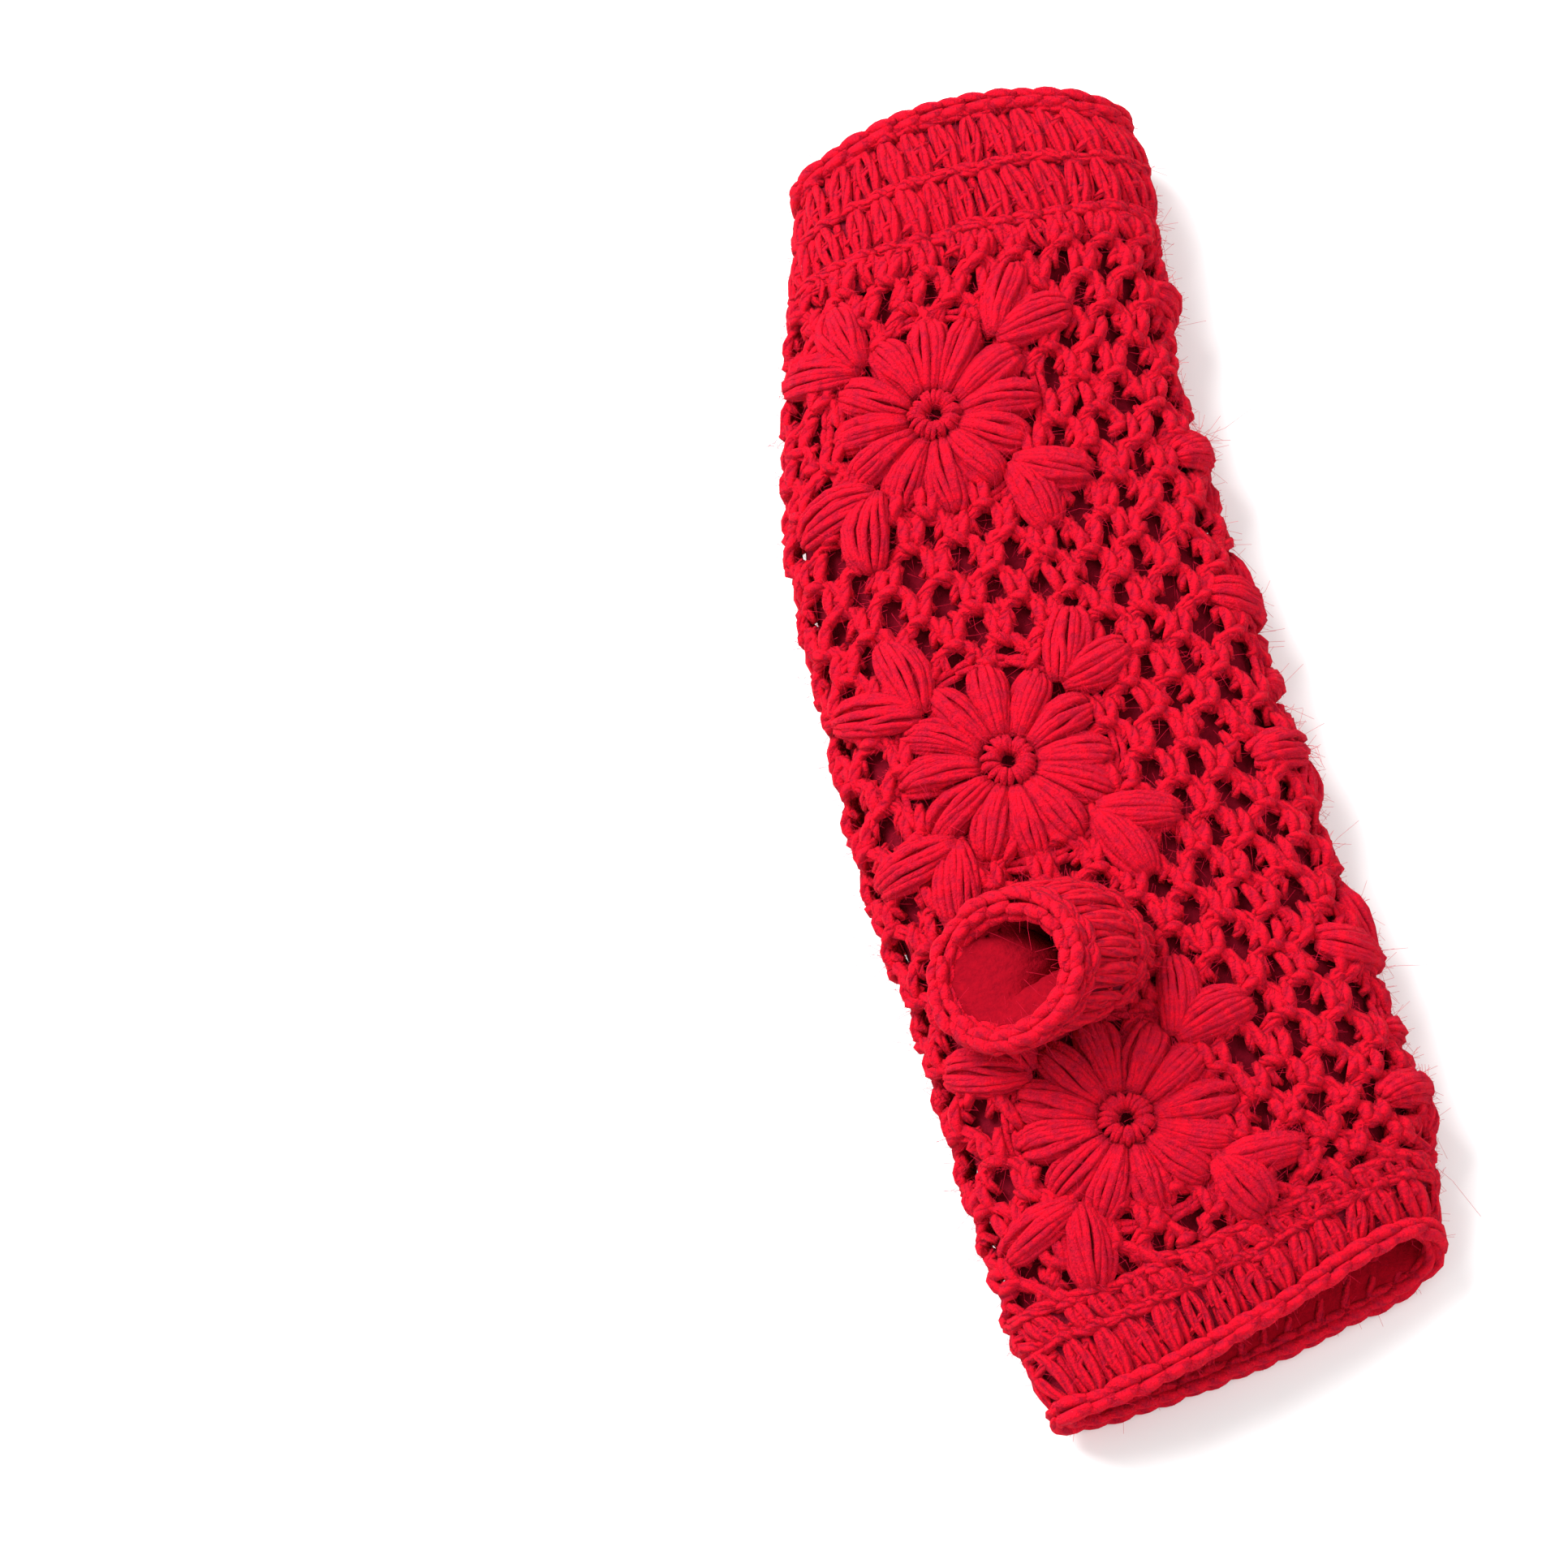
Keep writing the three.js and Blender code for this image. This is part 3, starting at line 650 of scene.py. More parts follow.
class GloveSizes(bpy.types.PropertyGroup):
    petal_strands: IntProperty(
        name="Petal strands", description="Strands of yarn over a puff", default=12, min=5
    )
    puff_yarn: FloatProperty(
        name="Puff yarn", description="Thickness of the strands of a puff", default=0.0016, unit="LENGTH"
    )
    net_yarn: FloatProperty(
        name="Net yarn", description="Thickness of the yarn in the net", default=0.0031, unit="LENGTH"
    )
    cuff_yarn: FloatProperty(
        name="Cuff yarn", description="Thickness of the yarn in the cuffs", default=0.0026, unit="LENGTH"
    )
    net_pitch: FloatProperty(
        name="Net pitch", description="Width of a cell of the net", default=0.0104, unit="LENGTH"
    )
    net_rise: FloatProperty(
        name="Net rise", description="Height of a row of the net", default=0.0073, unit="LENGTH"
    )
    stitch_pitch: FloatProperty(
        name="Stitch pitch", description="Width of a tall stitch of the cuffs", default=0.0058, unit="LENGTH"
    )
    chain_pitch: FloatProperty(
        name="Chain pitch", description="Length of a chain stitch of the edges", default=0.005, unit="LENGTH"
    )
    puff_colour: FloatVectorProperty(
        name="Puff colour",
        description="Wool of the flowers and leaves, where it is lightest",
        subtype="COLOR",
        size=4,
        default=linear("#e80626"),
    )
    net_colour: FloatVectorProperty(
        name="Net colour",
        description="Wool of the net and cuffs, where it is lightest",
        subtype="COLOR",
        size=4,
        default=linear("#e20626"),
    )
    fleece_colour: FloatVectorProperty(
        name="Fleece colour",
        description="Fleece of the lining, where it is lightest",
        subtype="COLOR",
        size=4,
        default=linear("#b8081c"),
    )


def millimetres(name):
    """One of the glove's sizes in millimetres."""
    return getattr(bpy.context.scene.glove_sizes, name) / MM


# Flowers

PETAL_ROOT = 5.4
PETAL_WIDTH = 9.2
RING_LOOPS = 34
RING_HOLE = 1.7
RING_YARN = 0.6
RIM_LINKS = 28
CHAIN_WIDTH = 3.2
LEAF_SINK = 0.6
LEAF_FULLNESS = 2


def flower_yarn(column, centre, draw):
    """Ring of fuzzy loops round a small hole, twelve puffs and the chain that links their tips."""
    yarn = Yarn()
    radius = millimetres("puff_yarn") / 2
    strands = bpy.context.scene.glove_sizes.petal_strands
    for k in range(PETALS):
        angle = (k + draw.normal(0, 0.07)) / PETALS * TAU
        reach = FLOWER_RADIUS + draw.normal(0, 0.35)

        def place(t, side, n, angle=angle, reach=reach):
            r = PETAL_ROOT + (reach - PETAL_ROOT) * t
            du = r * math.cos(angle) - side * math.sin(angle)
            dv = r * math.sin(angle) + side * math.cos(angle)
            return on_square(column, centre, du, dv, SEAM + FACET_BULGE + n)

        width = PETAL_WIDTH + draw.normal(0, 0.5)
        height = PETAL_HEIGHT - SEAM - FACET_BULGE + draw.normal(0, 0.2)
        puff(yarn, place, PETAL_PROFILE, strands, width, height, radius, draw)
    t = np.linspace(0, 1, 6)
    for k in range(RING_LOOPS):
        angle = (k + 0.5 + draw.normal(0, 0.2)) / RING_LOOPS * TAU
        r = RING_HOLE + (PETAL_ROOT - RING_HOLE) * t + draw.normal(0, 0.15)
        lift = 1.2 + (3.2 + draw.normal(0, 0.25)) * np.sin(math.pi * (0.1 + 0.8 * t)) ** 0.8
        swirl = angle + draw.normal(0, 0.16) * (t - 0.3)
        thick = RING_YARN * (0.8 + 0.35 * np.sin(math.pi * t))
        yarn.add(on_square(column, centre, r * np.cos(swirl), r * np.sin(swirl), lift), thick)

    def rim(s, side, lift):
        a = np.asarray(s) / RIM_LINKS * TAU
        r = FLOWER_RADIUS + 1.3 + side
        return on_square(column, centre, r * np.cos(a), r * np.sin(a), 1.5 + lift)

    chain(yarn, rim, RIM_LINKS, CHAIN_WIDTH, 0.8, draw)
    return yarn


def leaf_yarn(column, centre, corner, draw):
    """Two puffs that part from a corner of the square."""
    yarn = Yarn()
    sx, sy = corner
    radius = millimetres("puff_yarn") / 2
    strands = bpy.context.scene.glove_sizes.petal_strands
    root = np.array([sx, sy]) * (LEAF_ROOT - 0.4) * math.sqrt(0.5)
    for hand in (-1, 1):
        angle = math.pi / 4 + hand * LEAF_SPREAD + draw.normal(0, 0.06)
        axis = np.array([sx * math.cos(angle), sy * math.sin(angle)])
        length = LEAF_LENGTH * (1 + draw.normal(0, 0.03))
        lifted = 0.5 * draw.normal(0, 0.6) ** 2

        def place(t, side, n, axis=axis, length=length, lifted=lifted):
            du = root[0] + axis[0] * length * t - axis[1] * side
            dv = root[1] + axis[1] * length * t + axis[0] * side
            return on_square(column, centre, du, dv, NET_THICKNESS - LEAF_SINK + lifted + n)

        height = LEAF_HEIGHT + SEAM + FACET_BULGE + LEAF_SINK
        width = LEAF_WIDTH + LEAF_FULLNESS + draw.normal(0, 0.4)
        puff(yarn, place, LEAF_PROFILE, strands, width, height, radius, draw)
    return yarn


class GLOVE_OT_flowers(bpy.types.Operator):
    """Adds the six flowers in puff stitch"""

    bl_idname = "glove.flowers"
    bl_label = "Flowers"

    def execute(self, context):
        draw = np.random.default_rng(11)
        material = get_material("spun_wool_puffs")
        for column, side in enumerate(("palm", "back")):
            for row, centre in enumerate(COLUMNS[column]):
                name = f"flower_{side}_{row + 1}"
                mesh = flower_yarn(column, centre, draw).mesh(name + "_yarn", 5)
                piece(name + "_yarn", mesh, "flower_wool", [name], material)
        return {"FINISHED"}


class GLOVE_OT_leaves(bpy.types.Operator):
    """Adds the pairs of puffs at the squares' corners"""

    bl_idname = "glove.leaves"
    bl_label = "Leaf pairs"

    def execute(self, context):
        draw = np.random.default_rng(12)
        material = get_material("spun_wool_puffs")
        for column, side in enumerate(("palm", "back")):
            for row, centre in enumerate(COLUMNS[column]):
                for corner, signs in CORNERS.items():
                    name = f"leaves_{side}_{row + 1}_{corner}"
                    mesh = leaf_yarn(column, centre, signs, draw).mesh(name + "_yarn", 5)
                    piece(name + "_yarn", mesh, "flower_wool", [name], material)
        return {"FINISHED"}


# Net


def covered(u, v):
    """True where a cell of the net would lie in a flower's or the thumb's opening."""
    for column, centres in enumerate(COLUMNS):
        du = from_column(column, u, v)
        if any(math.hypot(du, v - centre) < FLOWER_RADIUS - 0.5 for centre in centres):
            return True
    across = (from_column(0, u, v) - THUMB_SIDE) / THUMB_ROOT[0]
    return math.hypot(across, (v - THUMB_V) / THUMB_ROOT[1]) < 0.9


# Way of a tent's strands over a gap, as shares of the cell's width and height
TENT_STEPS = (0, 0.25, 0.5, 0.75, 1)
TENT_SIDE = (-0.5, -0.3, 0, 0.3, 0.5)
TENT_RISE = (-0.22, 0.26, 0.5, 0.26, -0.22)
TENT_STRANDS = 3
YARN_MIDDLE = 0.42


def net_yarn(low_share, high_share, draw):
    """Cells of the net: a tent of three strands over each gap, two upright loops on its top that part
    the gaps of the next row, the knots that hold both, and loose loops at the sides."""
    yarn = Yarn()
    radius = millimetres("net_yarn") / 2
    around = round(perimeter_at(0) / millimetres("net_pitch"))
    rows = round((NET_ARM_END - NET_HAND_END) / millimetres("net_rise"))
    rise = (NET_ARM_END - NET_HAND_END) / rows
    middle = NET_THICKNESS * YARN_MIDDLE
    t = np.linspace(0, 1, 8)
    tent_side = np.interp(t, TENT_STEPS, TENT_SIDE)
    tent_rise = np.interp(t, TENT_STEPS, TENT_RISE)
    short = np.linspace(0, 1, 6)
    bow = np.sin(math.pi * short)
    few = np.linspace(0, 1, 4)
    for row in range(rows):
        for i in range(around):
            share = (i + (row % 2) / 2) / around
            if not low_share <= (share + 0.25) % 1 < high_share:
                continue
            v0 = NET_HAND_END + (row + 0.5) * rise + draw.normal(0, 0.5)
            perimeter = perimeter_at(v0)
            pitch = perimeter / around
            u0 = share * perimeter + draw.normal(0, 0.7)
            if covered(u0, v0):
                continue
            squeeze = 1 + draw.normal(0, 0.08)
            phase = draw.uniform()
            for k in range(TENT_STRANDS):
                turn = TAU * (t * 1.6 + phase + k / TENT_STRANDS)
                u = u0 + pitch * tent_side * squeeze + 0.5 * np.sin(turn)
                v = v0 + rise * tent_rise + 0.8 * np.cos(turn) + draw.normal(0, 0.25)
                lift = middle + radius * (0.55 + 0.45 * np.sin(turn))
                thick = radius * (0.68 + 0.16 * np.sin(turn * 1.3 + k) + draw.normal(0, 0.05))
                yarn.add(on_tube(u, v, lift), thick)
            lean = draw.normal(0, 0.6)
            for hand in (-1, 1):
                u = u0 + hand * (1.0 + 0.8 * short) + lean * short + draw.normal(0, 0.25)
                v = v0 + rise * (0.28 + 1.0 * short) + draw.normal(0, 0.35)
                lift = middle + radius * (0.2 + 1.2 * bow + draw.normal(0, 0.12))
                yarn.add(on_tube(u, v, lift), radius * (0.62 + 0.3 * bow + draw.normal(0, 0.05)))
            tilt = draw.normal(0, 1.1)
            u = u0 + 4.4 * (short - 0.5) + draw.normal(0, 0.3)
            v = v0 + rise * 0.42 + tilt * (short - 0.5) * 2
            yarn.add(on_tube(u, v, middle + radius * (0.5 + 1.0 * bow)), radius * (0.55 + 0.3 * bow))
            u = u0 + pitch / 2 + 3.4 * (short - 0.5) + draw.normal(0, 0.4)
            v = v0 - rise * 0.25 - tilt * (short - 0.5) * 4
            yarn.add(on_tube(u, v, middle + radius * (0.3 + 0.9 * bow)), radius * (0.6 + 0.3 * bow))
            for hand in (-1, 1):
                u = u0 + hand * (pitch * 0.36 - 1.6 * few) + draw.normal(0, 0.5, 4)
                v = v0 + rise * (0.45 - 0.75 * few) + draw.normal(0, 0.4, 4)
                lift = middle + radius * (0.9 * np.sin(math.pi * few) - 0.1)
                yarn.add(on_tube(u, v, lift), radius * (0.55 + 0.2 * np.sin(math.pi * few)))
    return yarn


class GLOVE_OT_net(bpy.types.Operator):
    """Adds the coarse net between the flowers"""

    bl_idname = "glove.net"
    bl_label = "Net"

    def execute(self, context):
        draw = np.random.default_rng(13)
        material = get_material("spun_wool_net")
        for name, low, high in (("net_palm_yarn", 0.0, 0.5), ("net_back_yarn", 0.5, 1.0)):
            piece(name, net_yarn(low, high, draw).mesh(name, 5), "net_wool", ["net"], material)
        return {"FINISHED"}


# Cuffs and braids

STITCH_DEPTH = 2.1
GROUND_LIFT = 1.5
GROUND_WALL = 1.2
HAND_ROWS = (0.0, 0.66, 1.0)
ARM_ROWS = (0.0, 0.2, 0.6, 1.0)
THUMB_ROWS = (0, 0.5, 0.97)


def cuff_yarn(v_from, v_to, shares, draw):
    """Rows of tall stitches between the shares given, with a chain along the top of each row."""
    yarn = Yarn()
    radius = millimetres("cuff_yarn") / 2
    count = round(perimeter_at((v_from + v_to) / 2) / millimetres("stitch_pitch"))
    levels = [v_from + (v_to - v_from) * share for share in shares]
    for row, (foot, top) in enumerate(zip(levels, levels[1:])):
        for i in range(count):
            share = (i + 0.5 * (row % 2) + draw.normal(0, 0.05)) / count

            def place(side, along, lift, foot=foot, share=share):
                v = foot + along
                return on_tube(share * perimeter_at(v) + side, v, CUFF_THICKNESS - STITCH_DEPTH + lift)

            tall_stitch(yarn, place, top - foot, perimeter_at(foot) / count, radius, draw)

        waver = draw.uniform(0, TAU, 3)

        def ridge(s, side, lift, top=top, waver=waver):
            way = np.asarray(s) / count
            v = top + side + 0.35 * sum(np.sin(TAU * way * (7 + 4 * k) + waver[k]) for k in range(3))
            return on_tube(way * perimeter_at(v), v, CUFF_THICKNESS - STITCH_DEPTH + lift)

        chain(yarn, ridge, count, CHAIN_WIDTH, radius * 0.8, draw)
    return yarn


def edge_yarn(v_from, v_to, draw):
    """Chain edge: plump strands in a V over the rim and a plainer chain inside it."""
    yarn = Yarn()
    middle = (v_from + v_to) / 2
    links = round(perimeter_at(middle) / millimetres("chain_pitch"))

    def rim(s, side, lift):
        v = middle + np.asarray(side)
        over = BRAID_THICKNESS - 1.5 - 0.22 * np.asarray(side) ** 2
        return on_tube(np.asarray(s) / links * perimeter_at(v), v, over + lift)

    def inner(s, side, lift):
        v = middle + np.asarray(side) * 0.8
        return on_tube(np.asarray(s) / links * perimeter_at(v), v, 0.9 - lift * 0.5)

    chain(yarn, rim, links, 4.8, 1.2, draw)
    chain(yarn, inner, links, 4.2, 1.1, draw)
    return yarn


class GLOVE_OT_cuffs(bpy.types.Operator):
    """Adds the cuffs at both ends in rows of tall stitches over a ground of short ones"""

    bl_idname = "glove.cuffs"
    bl_label = "Cuffs"

    def execute(self, context):
        draw = np.random.default_rng(14)
        bands = (
            ("hand_cuff", HAND_EDGE + BRAID_WIDTH, NET_HAND_END, HAND_ROWS),
            ("arm_cuff", NET_ARM_END, ARM_EDGE - BRAID_WIDTH, ARM_ROWS),
        )
        for name, low, high, shares in bands:
            mesh = cuff_yarn(low, high, shares, draw).mesh(name + "_yarn", 6)
            piece(name + "_yarn", mesh, "cuff_wool", [name], get_material("spun_wool_cuff"))

            def ground(a, b, low=low, high=high):
                v = low - 0.5 + (high - low + 1) * b
                rough = 0.25 * np.sin(a * 90) * np.sin(v * 2.4) + 0.15 * np.sin(a * 230 + v)
                return on_tube(a * perimeter_at(v), v, GROUND_LIFT + rough)

            mesh = cloth_tube(name + "_ground", 120, 10, ground, GROUND_WALL)
            # The ground is darker than the stitches: painted shade in the gaps between them
            painted_shade_ground = get_material("wool_ground")
            piece(name + "_ground", mesh, "cuff_wool", [name], painted_shade_ground, get_material("brushed_fleece"))
        return {"FINISHED"}


class GLOVE_OT_braids(bpy.types.Operator):
    """Adds the chain edges of the hand and arm ends"""

    bl_idname = "glove.braids"
    bl_label = "Braids"

    def execute(self, context):
        draw = np.random.default_rng(15)
        bands = (
            ("hand_braid", HAND_EDGE, HAND_EDGE + BRAID_WIDTH),
            ("arm_braid", ARM_EDGE - BRAID_WIDTH, ARM_EDGE),
        )
        for name, low, high in bands:
            mesh = edge_yarn(low, high, draw).mesh(name + "_yarn", 7)
            piece(name + "_yarn", mesh, "braid_wool", [name], get_material("spun_wool_braid"))
        return {"FINISHED"}


# Thumb sleeve

ROOT_CENTRE = on_square(0, THUMB_V, THUMB_SIDE, 0, NET_THICKNESS)
MOUTH_CENTRE = ROOT_CENTRE + np.array([*MOUTH_SHIFT, MOUTH_RISE])
MOUTH_ACROSS = np.array([math.cos(MOUTH_TILT), 0, math.sin(MOUTH_TILT)])
MOUTH_NORMAL = np.array([-math.sin(MOUTH_TILT), 0, math.cos(MOUTH_TILT)])
SLEEVE_LENGTH = 22
SLEEVE_ROUND = 96


def on_mouth(turn, inset, lift):
    """Points round the sleeve's mouth, inside its rim and over its plane."""
    a = np.asarray(turn, float) * TAU
    across = (THUMB_MOUTH[0] - inset) * np.cos(a)
    along = (THUMB_MOUTH[1] - inset) * np.sin(a)
    ring = MOUTH_CENTRE + across[..., None] * MOUTH_ACROSS + along[..., None] * np.array([0, 1, 0])
    return ring + np.broadcast_to(lift, a.shape)[..., None] * MOUTH_NORMAL


def on_sleeve(turn, share, inset):
    """Points of the sleeve: a share of the way round, a share of the way up and an inset."""
    turn, share, inset = np.broadcast_arrays(*(np.asarray(a, float) for a in (turn, share, inset)))
    a = turn * TAU
    du = THUMB_SIDE + THUMB_ROOT[0] * np.cos(a)
    start = on_square(0, THUMB_V, du, THUMB_ROOT[1] * np.sin(a), NET_THICKNESS)
    knee = ROOT_CENTRE + (start - ROOT_CENTRE) * SLEEVE_SPREAD
    knee[..., 2] = start[..., 2] + SLEEVE_RISE
    t = share[..., None]
    outer = start * (1 - t) ** 2 + knee * 2 * t * (1 - t) + on_mouth(turn, 0, 0) * t**2
    knee_centre = ROOT_CENTRE + np.array([0, 0, SLEEVE_RISE])
    axis = ROOT_CENTRE * (1 - t) ** 2 + knee_centre * 2 * t * (1 - t) + MOUTH_CENTRE * t**2
    inward = axis - outer
    distance = np.linalg.norm(inward, axis=-1, keepdims=True)
    return outer + inward / distance * np.minimum(inset[..., None], 0.96 * distance)


def thumb_yarn(draw):
    """Rows of tall stitches round the sleeve."""
    yarn = Yarn()
    radius = millimetres("cuff_yarn") / 2
    count = round(SLEEVE_ROUND / millimetres("stitch_pitch"))
    for row, (foot, top) in enumerate(zip(THUMB_ROWS, THUMB_ROWS[1:])):
        for i in range(count):
            middle = (i + 0.5 * row + draw.normal(0, 0.08)) / count

            def place(side, along, lift, foot=foot, middle=middle):
                turn = middle - np.asarray(side) / SLEEVE_ROUND
                return on_sleeve(turn, foot + np.asarray(along) / SLEEVE_LENGTH, 1.4 - lift)

            tall_stitch(yarn, place, (top - foot) * SLEEVE_LENGTH, SLEEVE_ROUND / count, radius, draw)

        def ridge(s, side, lift, top=top):
            return on_sleeve(-np.asarray(s) / count, top + np.asarray(side) / SLEEVE_LENGTH, 1.0 - lift)

        chain(yarn, ridge, count, 3.4, radius * 0.9, draw)
    return yarn


class GLOVE_OT_thumb(bpy.types.Operator):
    """Adds the thumb sleeve and its chain edge"""

    bl_idname = "glove.thumb"
    bl_label = "Thumb sleeve"

    def execute(self, context):
        draw = np.random.default_rng(16)
        mesh = thumb_yarn(draw).mesh("thumb_sleeve_yarn", 6)
        piece("thumb_sleeve_yarn", mesh, "cuff_wool", ["thumb_sleeve"], get_material("spun_wool_cuff"))

        def ground(a, b):
            return on_sleeve(a, 0.02 + 0.96 * b, GROUND_LIFT + 0.3 * np.sin(a * 110) * np.sin(b * 50))

        mesh = cloth_tube("thumb_ground", 90, 14, ground, GROUND_WALL)
        # The ground is darker than the stitches: painted shade in the gaps between them
        painted_shade_ground = get_material("wool_ground")
        piece("thumb_ground", mesh, "cuff_wool", ["thumb_sleeve"], painted_shade_ground, painted_shade_ground)
        edge = Yarn()
        links = round(TAU * (THUMB_MOUTH[0] - 1.7) / millimetres("chain_pitch"))

        def rim(s, side, lift):
            return on_mouth(-np.asarray(s) / links, 2.2 - np.asarray(side), 1.0 + np.asarray(lift))

        def inner_rim(s, side, lift):
            inset = 4.2 - np.asarray(side) * 0.6
            return on_mouth(-np.asarray(s) / links, inset, -0.4 + np.asarray(lift) * 0.6)

        chain(edge, rim, links, 5.0, 1.25, draw)
        chain(edge, inner_rim, links, 3.6, 1.1, draw)
        mesh = edge.mesh("thumb_braid_yarn", 7)
        piece("thumb_braid_yarn", mesh, "braid_wool", ["thumb_braid"], get_material("spun_wool_braid"))
        return {"FINISHED"}


# Fleece


def cloth_tube(name, across, along, place, thickness, dropped=None):
    """A closed tube of cloth: a grid mapped by place(share round, share along), joined, with a wall
    on its inside, which is in the mesh's second material. dropped(share round, share along) is true
    where the cloth has an opening."""
    cloth = bmesh.new()
    cloth.loops.layers.uv.new("UVMap")
    bmesh.ops.create_grid(cloth, x_segments=across, y_segments=along, size=0.5, calc_uvs=True)
    if dropped:
        inside = [f for f in cloth.faces if dropped(*(f.calc_center_median().xy + Vector((0.5, 0.5))))]
        bmesh.ops.delete(cloth, geom=inside, context="FACES")
    shares = np.array([v.co for v in cloth.verts]) + 0.5
    for vert, point in zip(cloth.verts, place(shares[:, 0], shares[:, 1])):
        vert.co = Vector(point * MM + SHIFT)
    bmesh.ops.remove_doubles(cloth, verts=cloth.verts, dist=1e-6)
    bmesh.ops.recalc_face_normals(cloth, faces=cloth.faces)
    middle = sum((v.co for v in cloth.verts), Vector()) / len(cloth.verts)
    if sum((f.calc_center_median() - middle).dot(f.normal) for f in cloth.faces) < 0:
        bmesh.ops.reverse_faces(cloth, faces=cloth.faces)
    for face in cloth.faces:
        face.smooth = True
    sheet = bpy.data.meshes.new(name + "_sheet")
    cloth.to_mesh(sheet)
    cloth.free()
    for _ in range(2):
        sheet.materials.append(None)
    holder = bpy.data.objects.new(name + "_sheet", sheet)
    bpy.context.scene.collection.objects.link(holder)
    wall = holder.modifiers.new("wall", "SOLIDIFY")
    wall.thickness = thickness * MM
    wall.offset = -1
    wall.material_offset = 1
    wall.material_offset_rim = 1
    graph = bpy.context.evaluated_depsgraph_get()
    mesh = bpy.data.meshes.new_from_object(holder.evaluated_get(graph))
    bpy.data.objects.remove(holder)
    bpy.data.meshes.remove(sheet)
    mesh.name = name
    return mesh


# Two rounded folds of the thumb's fleece: the middle of each in degrees and its depth in millimetres
THUMB_FOLDS = ((182, 8), (268, 6))
FOLD_HALF_WIDTH = 44
FOLD_STEEPNESS = 4.5


class GLOVE_OT_fleece(bpy.types.Operator):
    """Adds the fleece lining of the tube and of the thumb"""

    bl_idname = "glove.fleece"
    bl_label = "Fleece lining"

    def execute(self, context):
        length = NET_ARM_END - NET_HAND_END

        def tube(a, b):
            v = NET_HAND_END + length * b
            return on_tube(a * perimeter_at(v), v, -SEAM + 0.2 * np.sin(a * 100) * np.sin(v / 2))

        def thumb_opening(a, b):
            v = NET_HAND_END + length * b
            across = (from_column(0, a * perimeter_at(v), v) - THUMB_SIDE) / (THUMB_ROOT[0] - SLEEVE_WALL - 1)
            return math.hypot(across, (v - THUMB_V) / (THUMB_ROOT[1] - SLEEVE_WALL - 1)) < 1

        mesh = cloth_tube("lining_fleece", 110, 70, tube, LINING_THICKNESS, thumb_opening)
        # The lining's outer face is painted dark as the net's shade; its inner face has the fleece's own
        # colour
        back, nap_side = get_material("fleece_back"), get_material("brushed_fleece")
        lining = piece("lining_fleece", mesh, "fleece", ["lining"], back, nap_side)

        def thumb(a, b):
            folds = sum(
                depth * np.sqrt(np.maximum(1 - ((a * 360 - turn) / FOLD_HALF_WIDTH) ** 2, 0))
                for turn, depth in THUMB_FOLDS
            )
            nap = 0.2 * (np.sin(a * 70 + b * 9) + np.sin(a * 31 - b * 40) * np.sin(b * 25 + a * 13))
            inset = SLEEVE_WALL + SEAM + nap + smooth((1 - b) * FOLD_STEEPNESS) * folds
            return on_sleeve(a, -0.12 + 1.08 * b, inset)

        mesh = cloth_tube("thumb_fleece", 80, 26, thumb, LINING_THICKNESS)
        # The thumb's fleece is painted darker than the lining: painted shade inside the sleeve
        inside = get_material("deep_fleece")
        small = piece("thumb_fleece", mesh, "fleece", ["thumb_lining"], inside, inside)
        return {"FINISHED"}


# Fuzz

HAIRS = 46000
HAIR_RADIUS = 0.034
# Two pieces of short nap and one of long fibres that curl: where each ends, its points and its reach
FUZZ_KINDS = ((0.435, 2, 0.26), (0.87, 2, 0.26), (1.0, 3, 0.55))


class GLOVE_OT_fuzz(bpy.types.Operator):
    """Adds loose fibres that stand out of the yarn"""

    bl_idname = "glove.fuzz"
    bl_label = "Fuzz"

    def execute(self, context):
        draw = np.random.default_rng(17)
        hairs = HAIRS
        found = []
        for thing in bpy.data.objects:
            if not thing.name.endswith("_yarn"):
                continue
            faces = thing.data.polygons
            area, centre, normal = np.zeros(len(faces)), np.zeros(len(faces) * 3), np.zeros(len(faces) * 3)
            faces.foreach_get("area", area)
            faces.foreach_get("center", centre)
            faces.foreach_get("normal", normal)
            found.append(np.column_stack([area, centre.reshape(-1, 3), normal.reshape(-1, 3)]))
        faces = np.concatenate(found)
        # More hairs high on the glove and on the strands' sides, where they show
        high, sideways = smooth((faces[:, 3] / MM - 4) / 8), 1 - faces[:, 6] ** 2
        share = faces[:, 0] * (0.3 + high * (0.5 + 1.5 * sideways))
        picked = faces[draw.choice(len(faces), hairs, p=share / share.sum())]
        start_at = 0
        for part, (end, points, reach) in enumerate(FUZZ_KINDS):
            end_at = round(hairs * end)
            yarn = Yarn()
            t = np.linspace(0, 1, points)[:, None]
            for row in picked[start_at:end_at]:
                start = (row[1:4] - SHIFT) / MM
                out = row[4:] + draw.normal(0, 0.7, 3)
                length = draw.gamma(3.0, reach)
                curl = draw.normal(0, 0.9, 3) * t**2
                yarn.add(start + length * (out * t + curl), HAIR_RADIUS)
            start_at = end_at
            name = f"fuzz_{part + 1}"
            piece(name, yarn.mesh(name, 3), "net_wool", [], get_material("loose_wool_fibres"))
        return {"FINISHED"}


# Stage

PAPER_SIZE = 6
SKY_STRENGTH = 0.84
# Name, place in metres, watts and width of each soft light
LAMPS = (("key", (-0.85, 0.85, 1.15), 47, 0.9), ("fill", (0.8, -0.7, 1.3), 8, 1.2))
CAMERA_TURN = math.radians(-13)
CAMERA_TILT = math.radians(68)
CAMERA_LENS = 114.6
CAMERA_TARGET = (-0.057, 0.0065, 0)


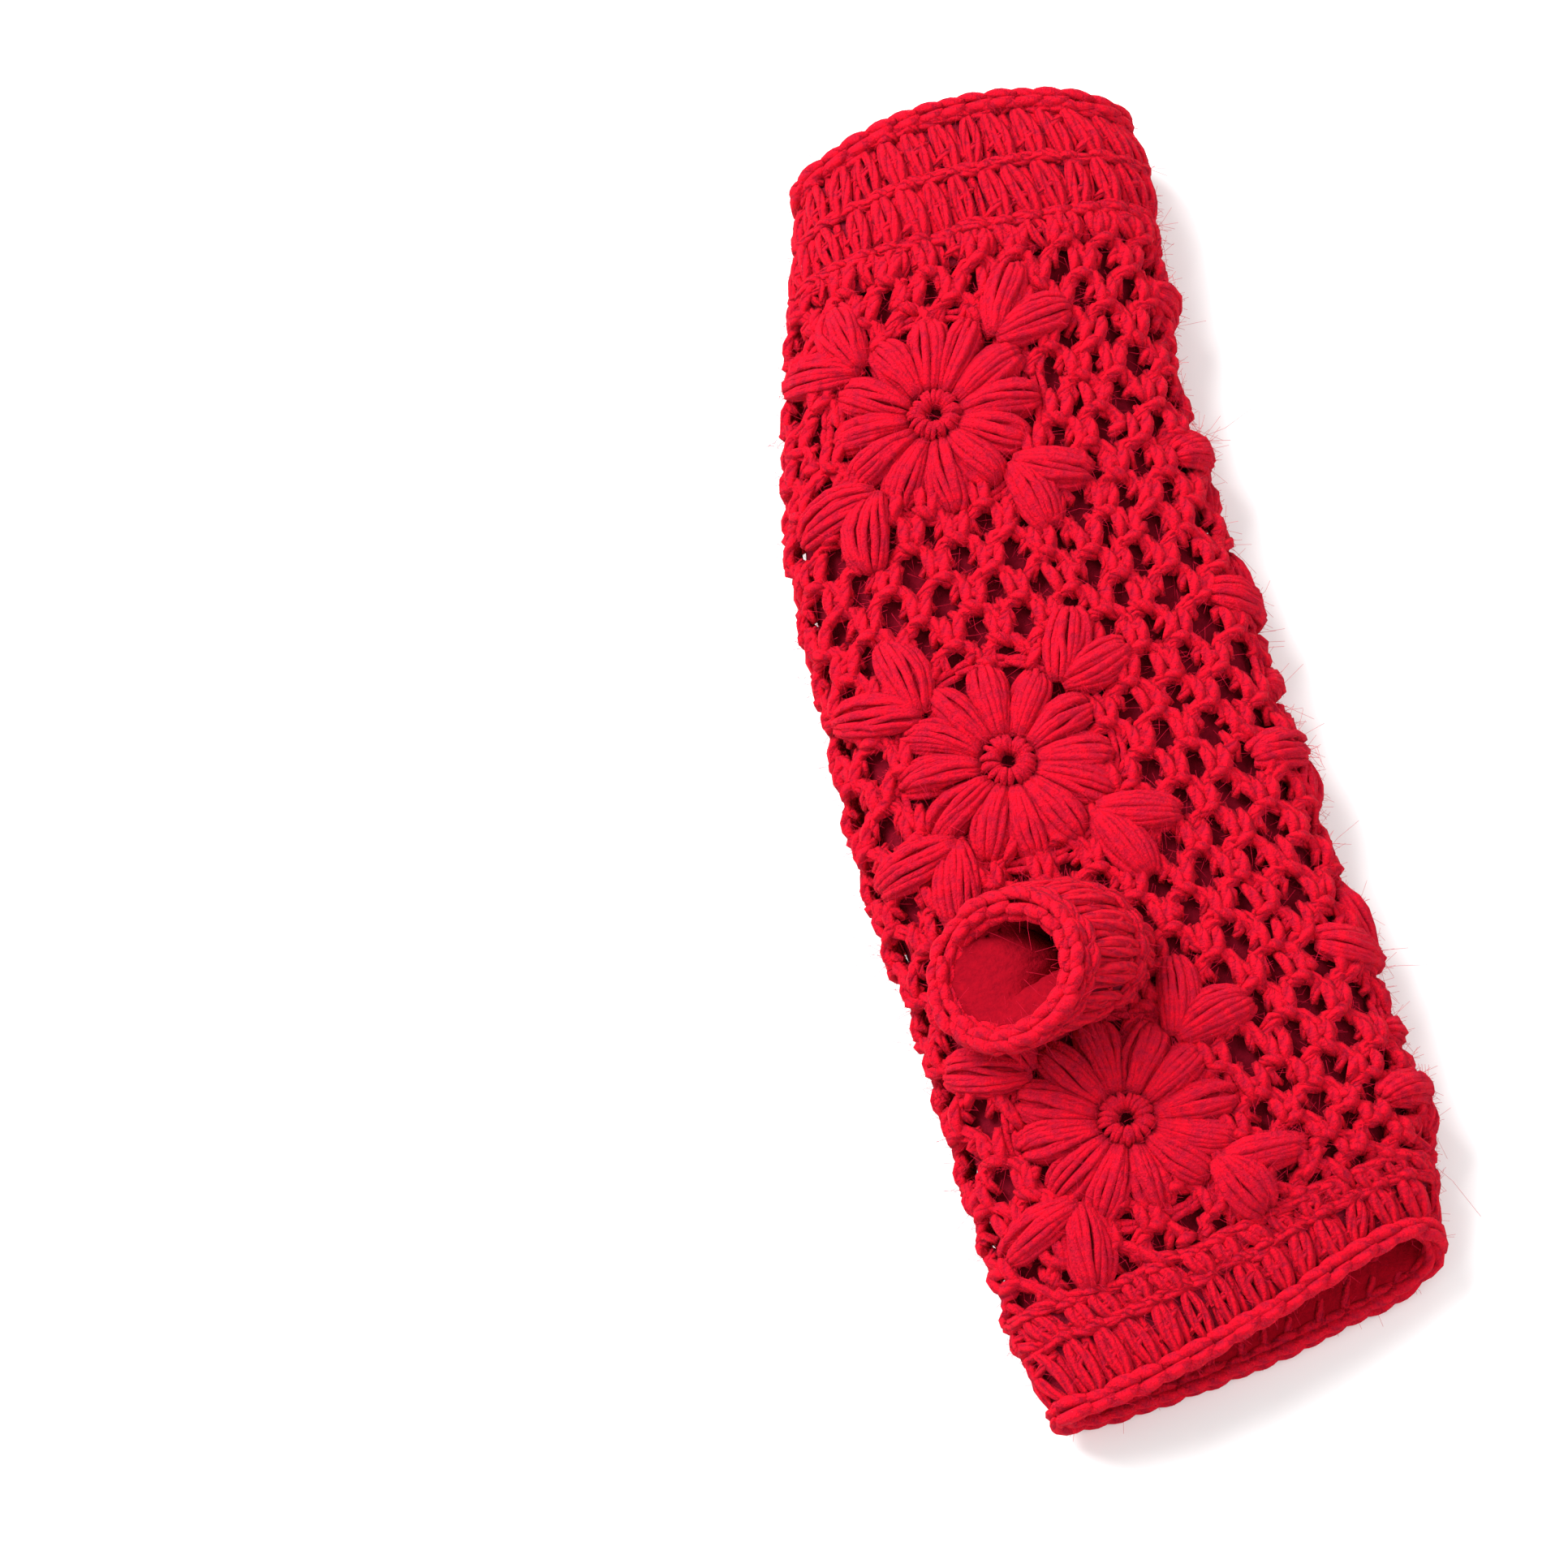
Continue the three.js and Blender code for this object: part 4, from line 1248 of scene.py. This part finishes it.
class GLOVE_OT_stage(bpy.types.Operator):
    """Adds the paper below, the studio light and the camera"""

    bl_idname = "glove.stage"
    bl_label = "Stage"

    def execute(self, context):
        scene = context.scene
        bpy.ops.mesh.primitive_plane_add(size=PAPER_SIZE)
        floor = context.object
        floor.name = "paper"
        floor.data.materials.append(paper("white_paper", "#f6f5f5"))
        world = bpy.data.worlds.new("studio")
        world.use_nodes = True
        sky = world.node_tree.nodes["Background"]
        sky.inputs["Color"].default_value = (1, 1, 1, 1)
        sky.inputs["Strength"].default_value = SKY_STRENGTH
        scene.world = world
        for name, place, energy, size in LAMPS:
            lamp = bpy.data.lights.new(name, "AREA")
            lamp.energy = energy
            lamp.size = size
            holder = bpy.data.objects.new(name, lamp)
            holder.location = place
            holder.rotation_euler = (-Vector(place)).to_track_quat("-Z", "Y").to_euler()
            scene.collection.objects.link(holder)
        scene.view_settings.view_transform = "Standard"
        camera = bpy.data.cameras.new("camera")
        camera.sensor_width = 36
        camera.lens = CAMERA_LENS
        holder = bpy.data.objects.new("camera", camera)
        level, rise = math.cos(CAMERA_TILT), math.sin(CAMERA_TILT)
        back = Vector((math.sin(CAMERA_TURN) * level, -math.cos(CAMERA_TURN) * level, rise))
        holder.location = Vector(CAMERA_TARGET) + Vector(SHIFT) + back
        holder.rotation_euler = (-back).to_track_quat("-Z", "Y").to_euler()
        scene.collection.objects.link(holder)
        scene.camera = holder
        return {"FINISHED"}


STEPS = (
    GLOVE_OT_flowers,
    GLOVE_OT_leaves,
    GLOVE_OT_net,
    GLOVE_OT_cuffs,
    GLOVE_OT_braids,
    GLOVE_OT_thumb,
    GLOVE_OT_fleece,
    GLOVE_OT_fuzz,
    GLOVE_OT_stage,
)


class GLOVE_PT_panel(bpy.types.Panel):
    """Lists the glove's sizes and steps"""

    bl_label = "Crochet glove"
    bl_idname = "GLOVE_PT_panel"
    bl_space_type = "VIEW_3D"
    bl_region_type = "UI"
    bl_category = "Glove"

    def draw(self, context):
        for name in GloveSizes.__annotations__:
            self.layout.prop(context.scene.glove_sizes, name)
        for step in STEPS:
            self.layout.operator(step.bl_idname)


CLASSES = (GloveSizes, *STEPS, GLOVE_PT_panel)


def register():
    for item in CLASSES:
        bpy.utils.register_class(item)
    bpy.types.Scene.glove_sizes = PointerProperty(type=GloveSizes)


def unregister():
    del bpy.types.Scene.glove_sizes
    for item in reversed(CLASSES):
        bpy.utils.unregister_class(item)


def main():
    register()
    bpy.ops.glove.flowers()
    bpy.ops.glove.leaves()
    bpy.ops.glove.net()
    bpy.ops.glove.cuffs()
    bpy.ops.glove.braids()
    bpy.ops.glove.thumb()
    bpy.ops.glove.fleece()
    bpy.ops.glove.fuzz()
    bpy.ops.glove.stage()


if __name__ == "__main__":
    main()
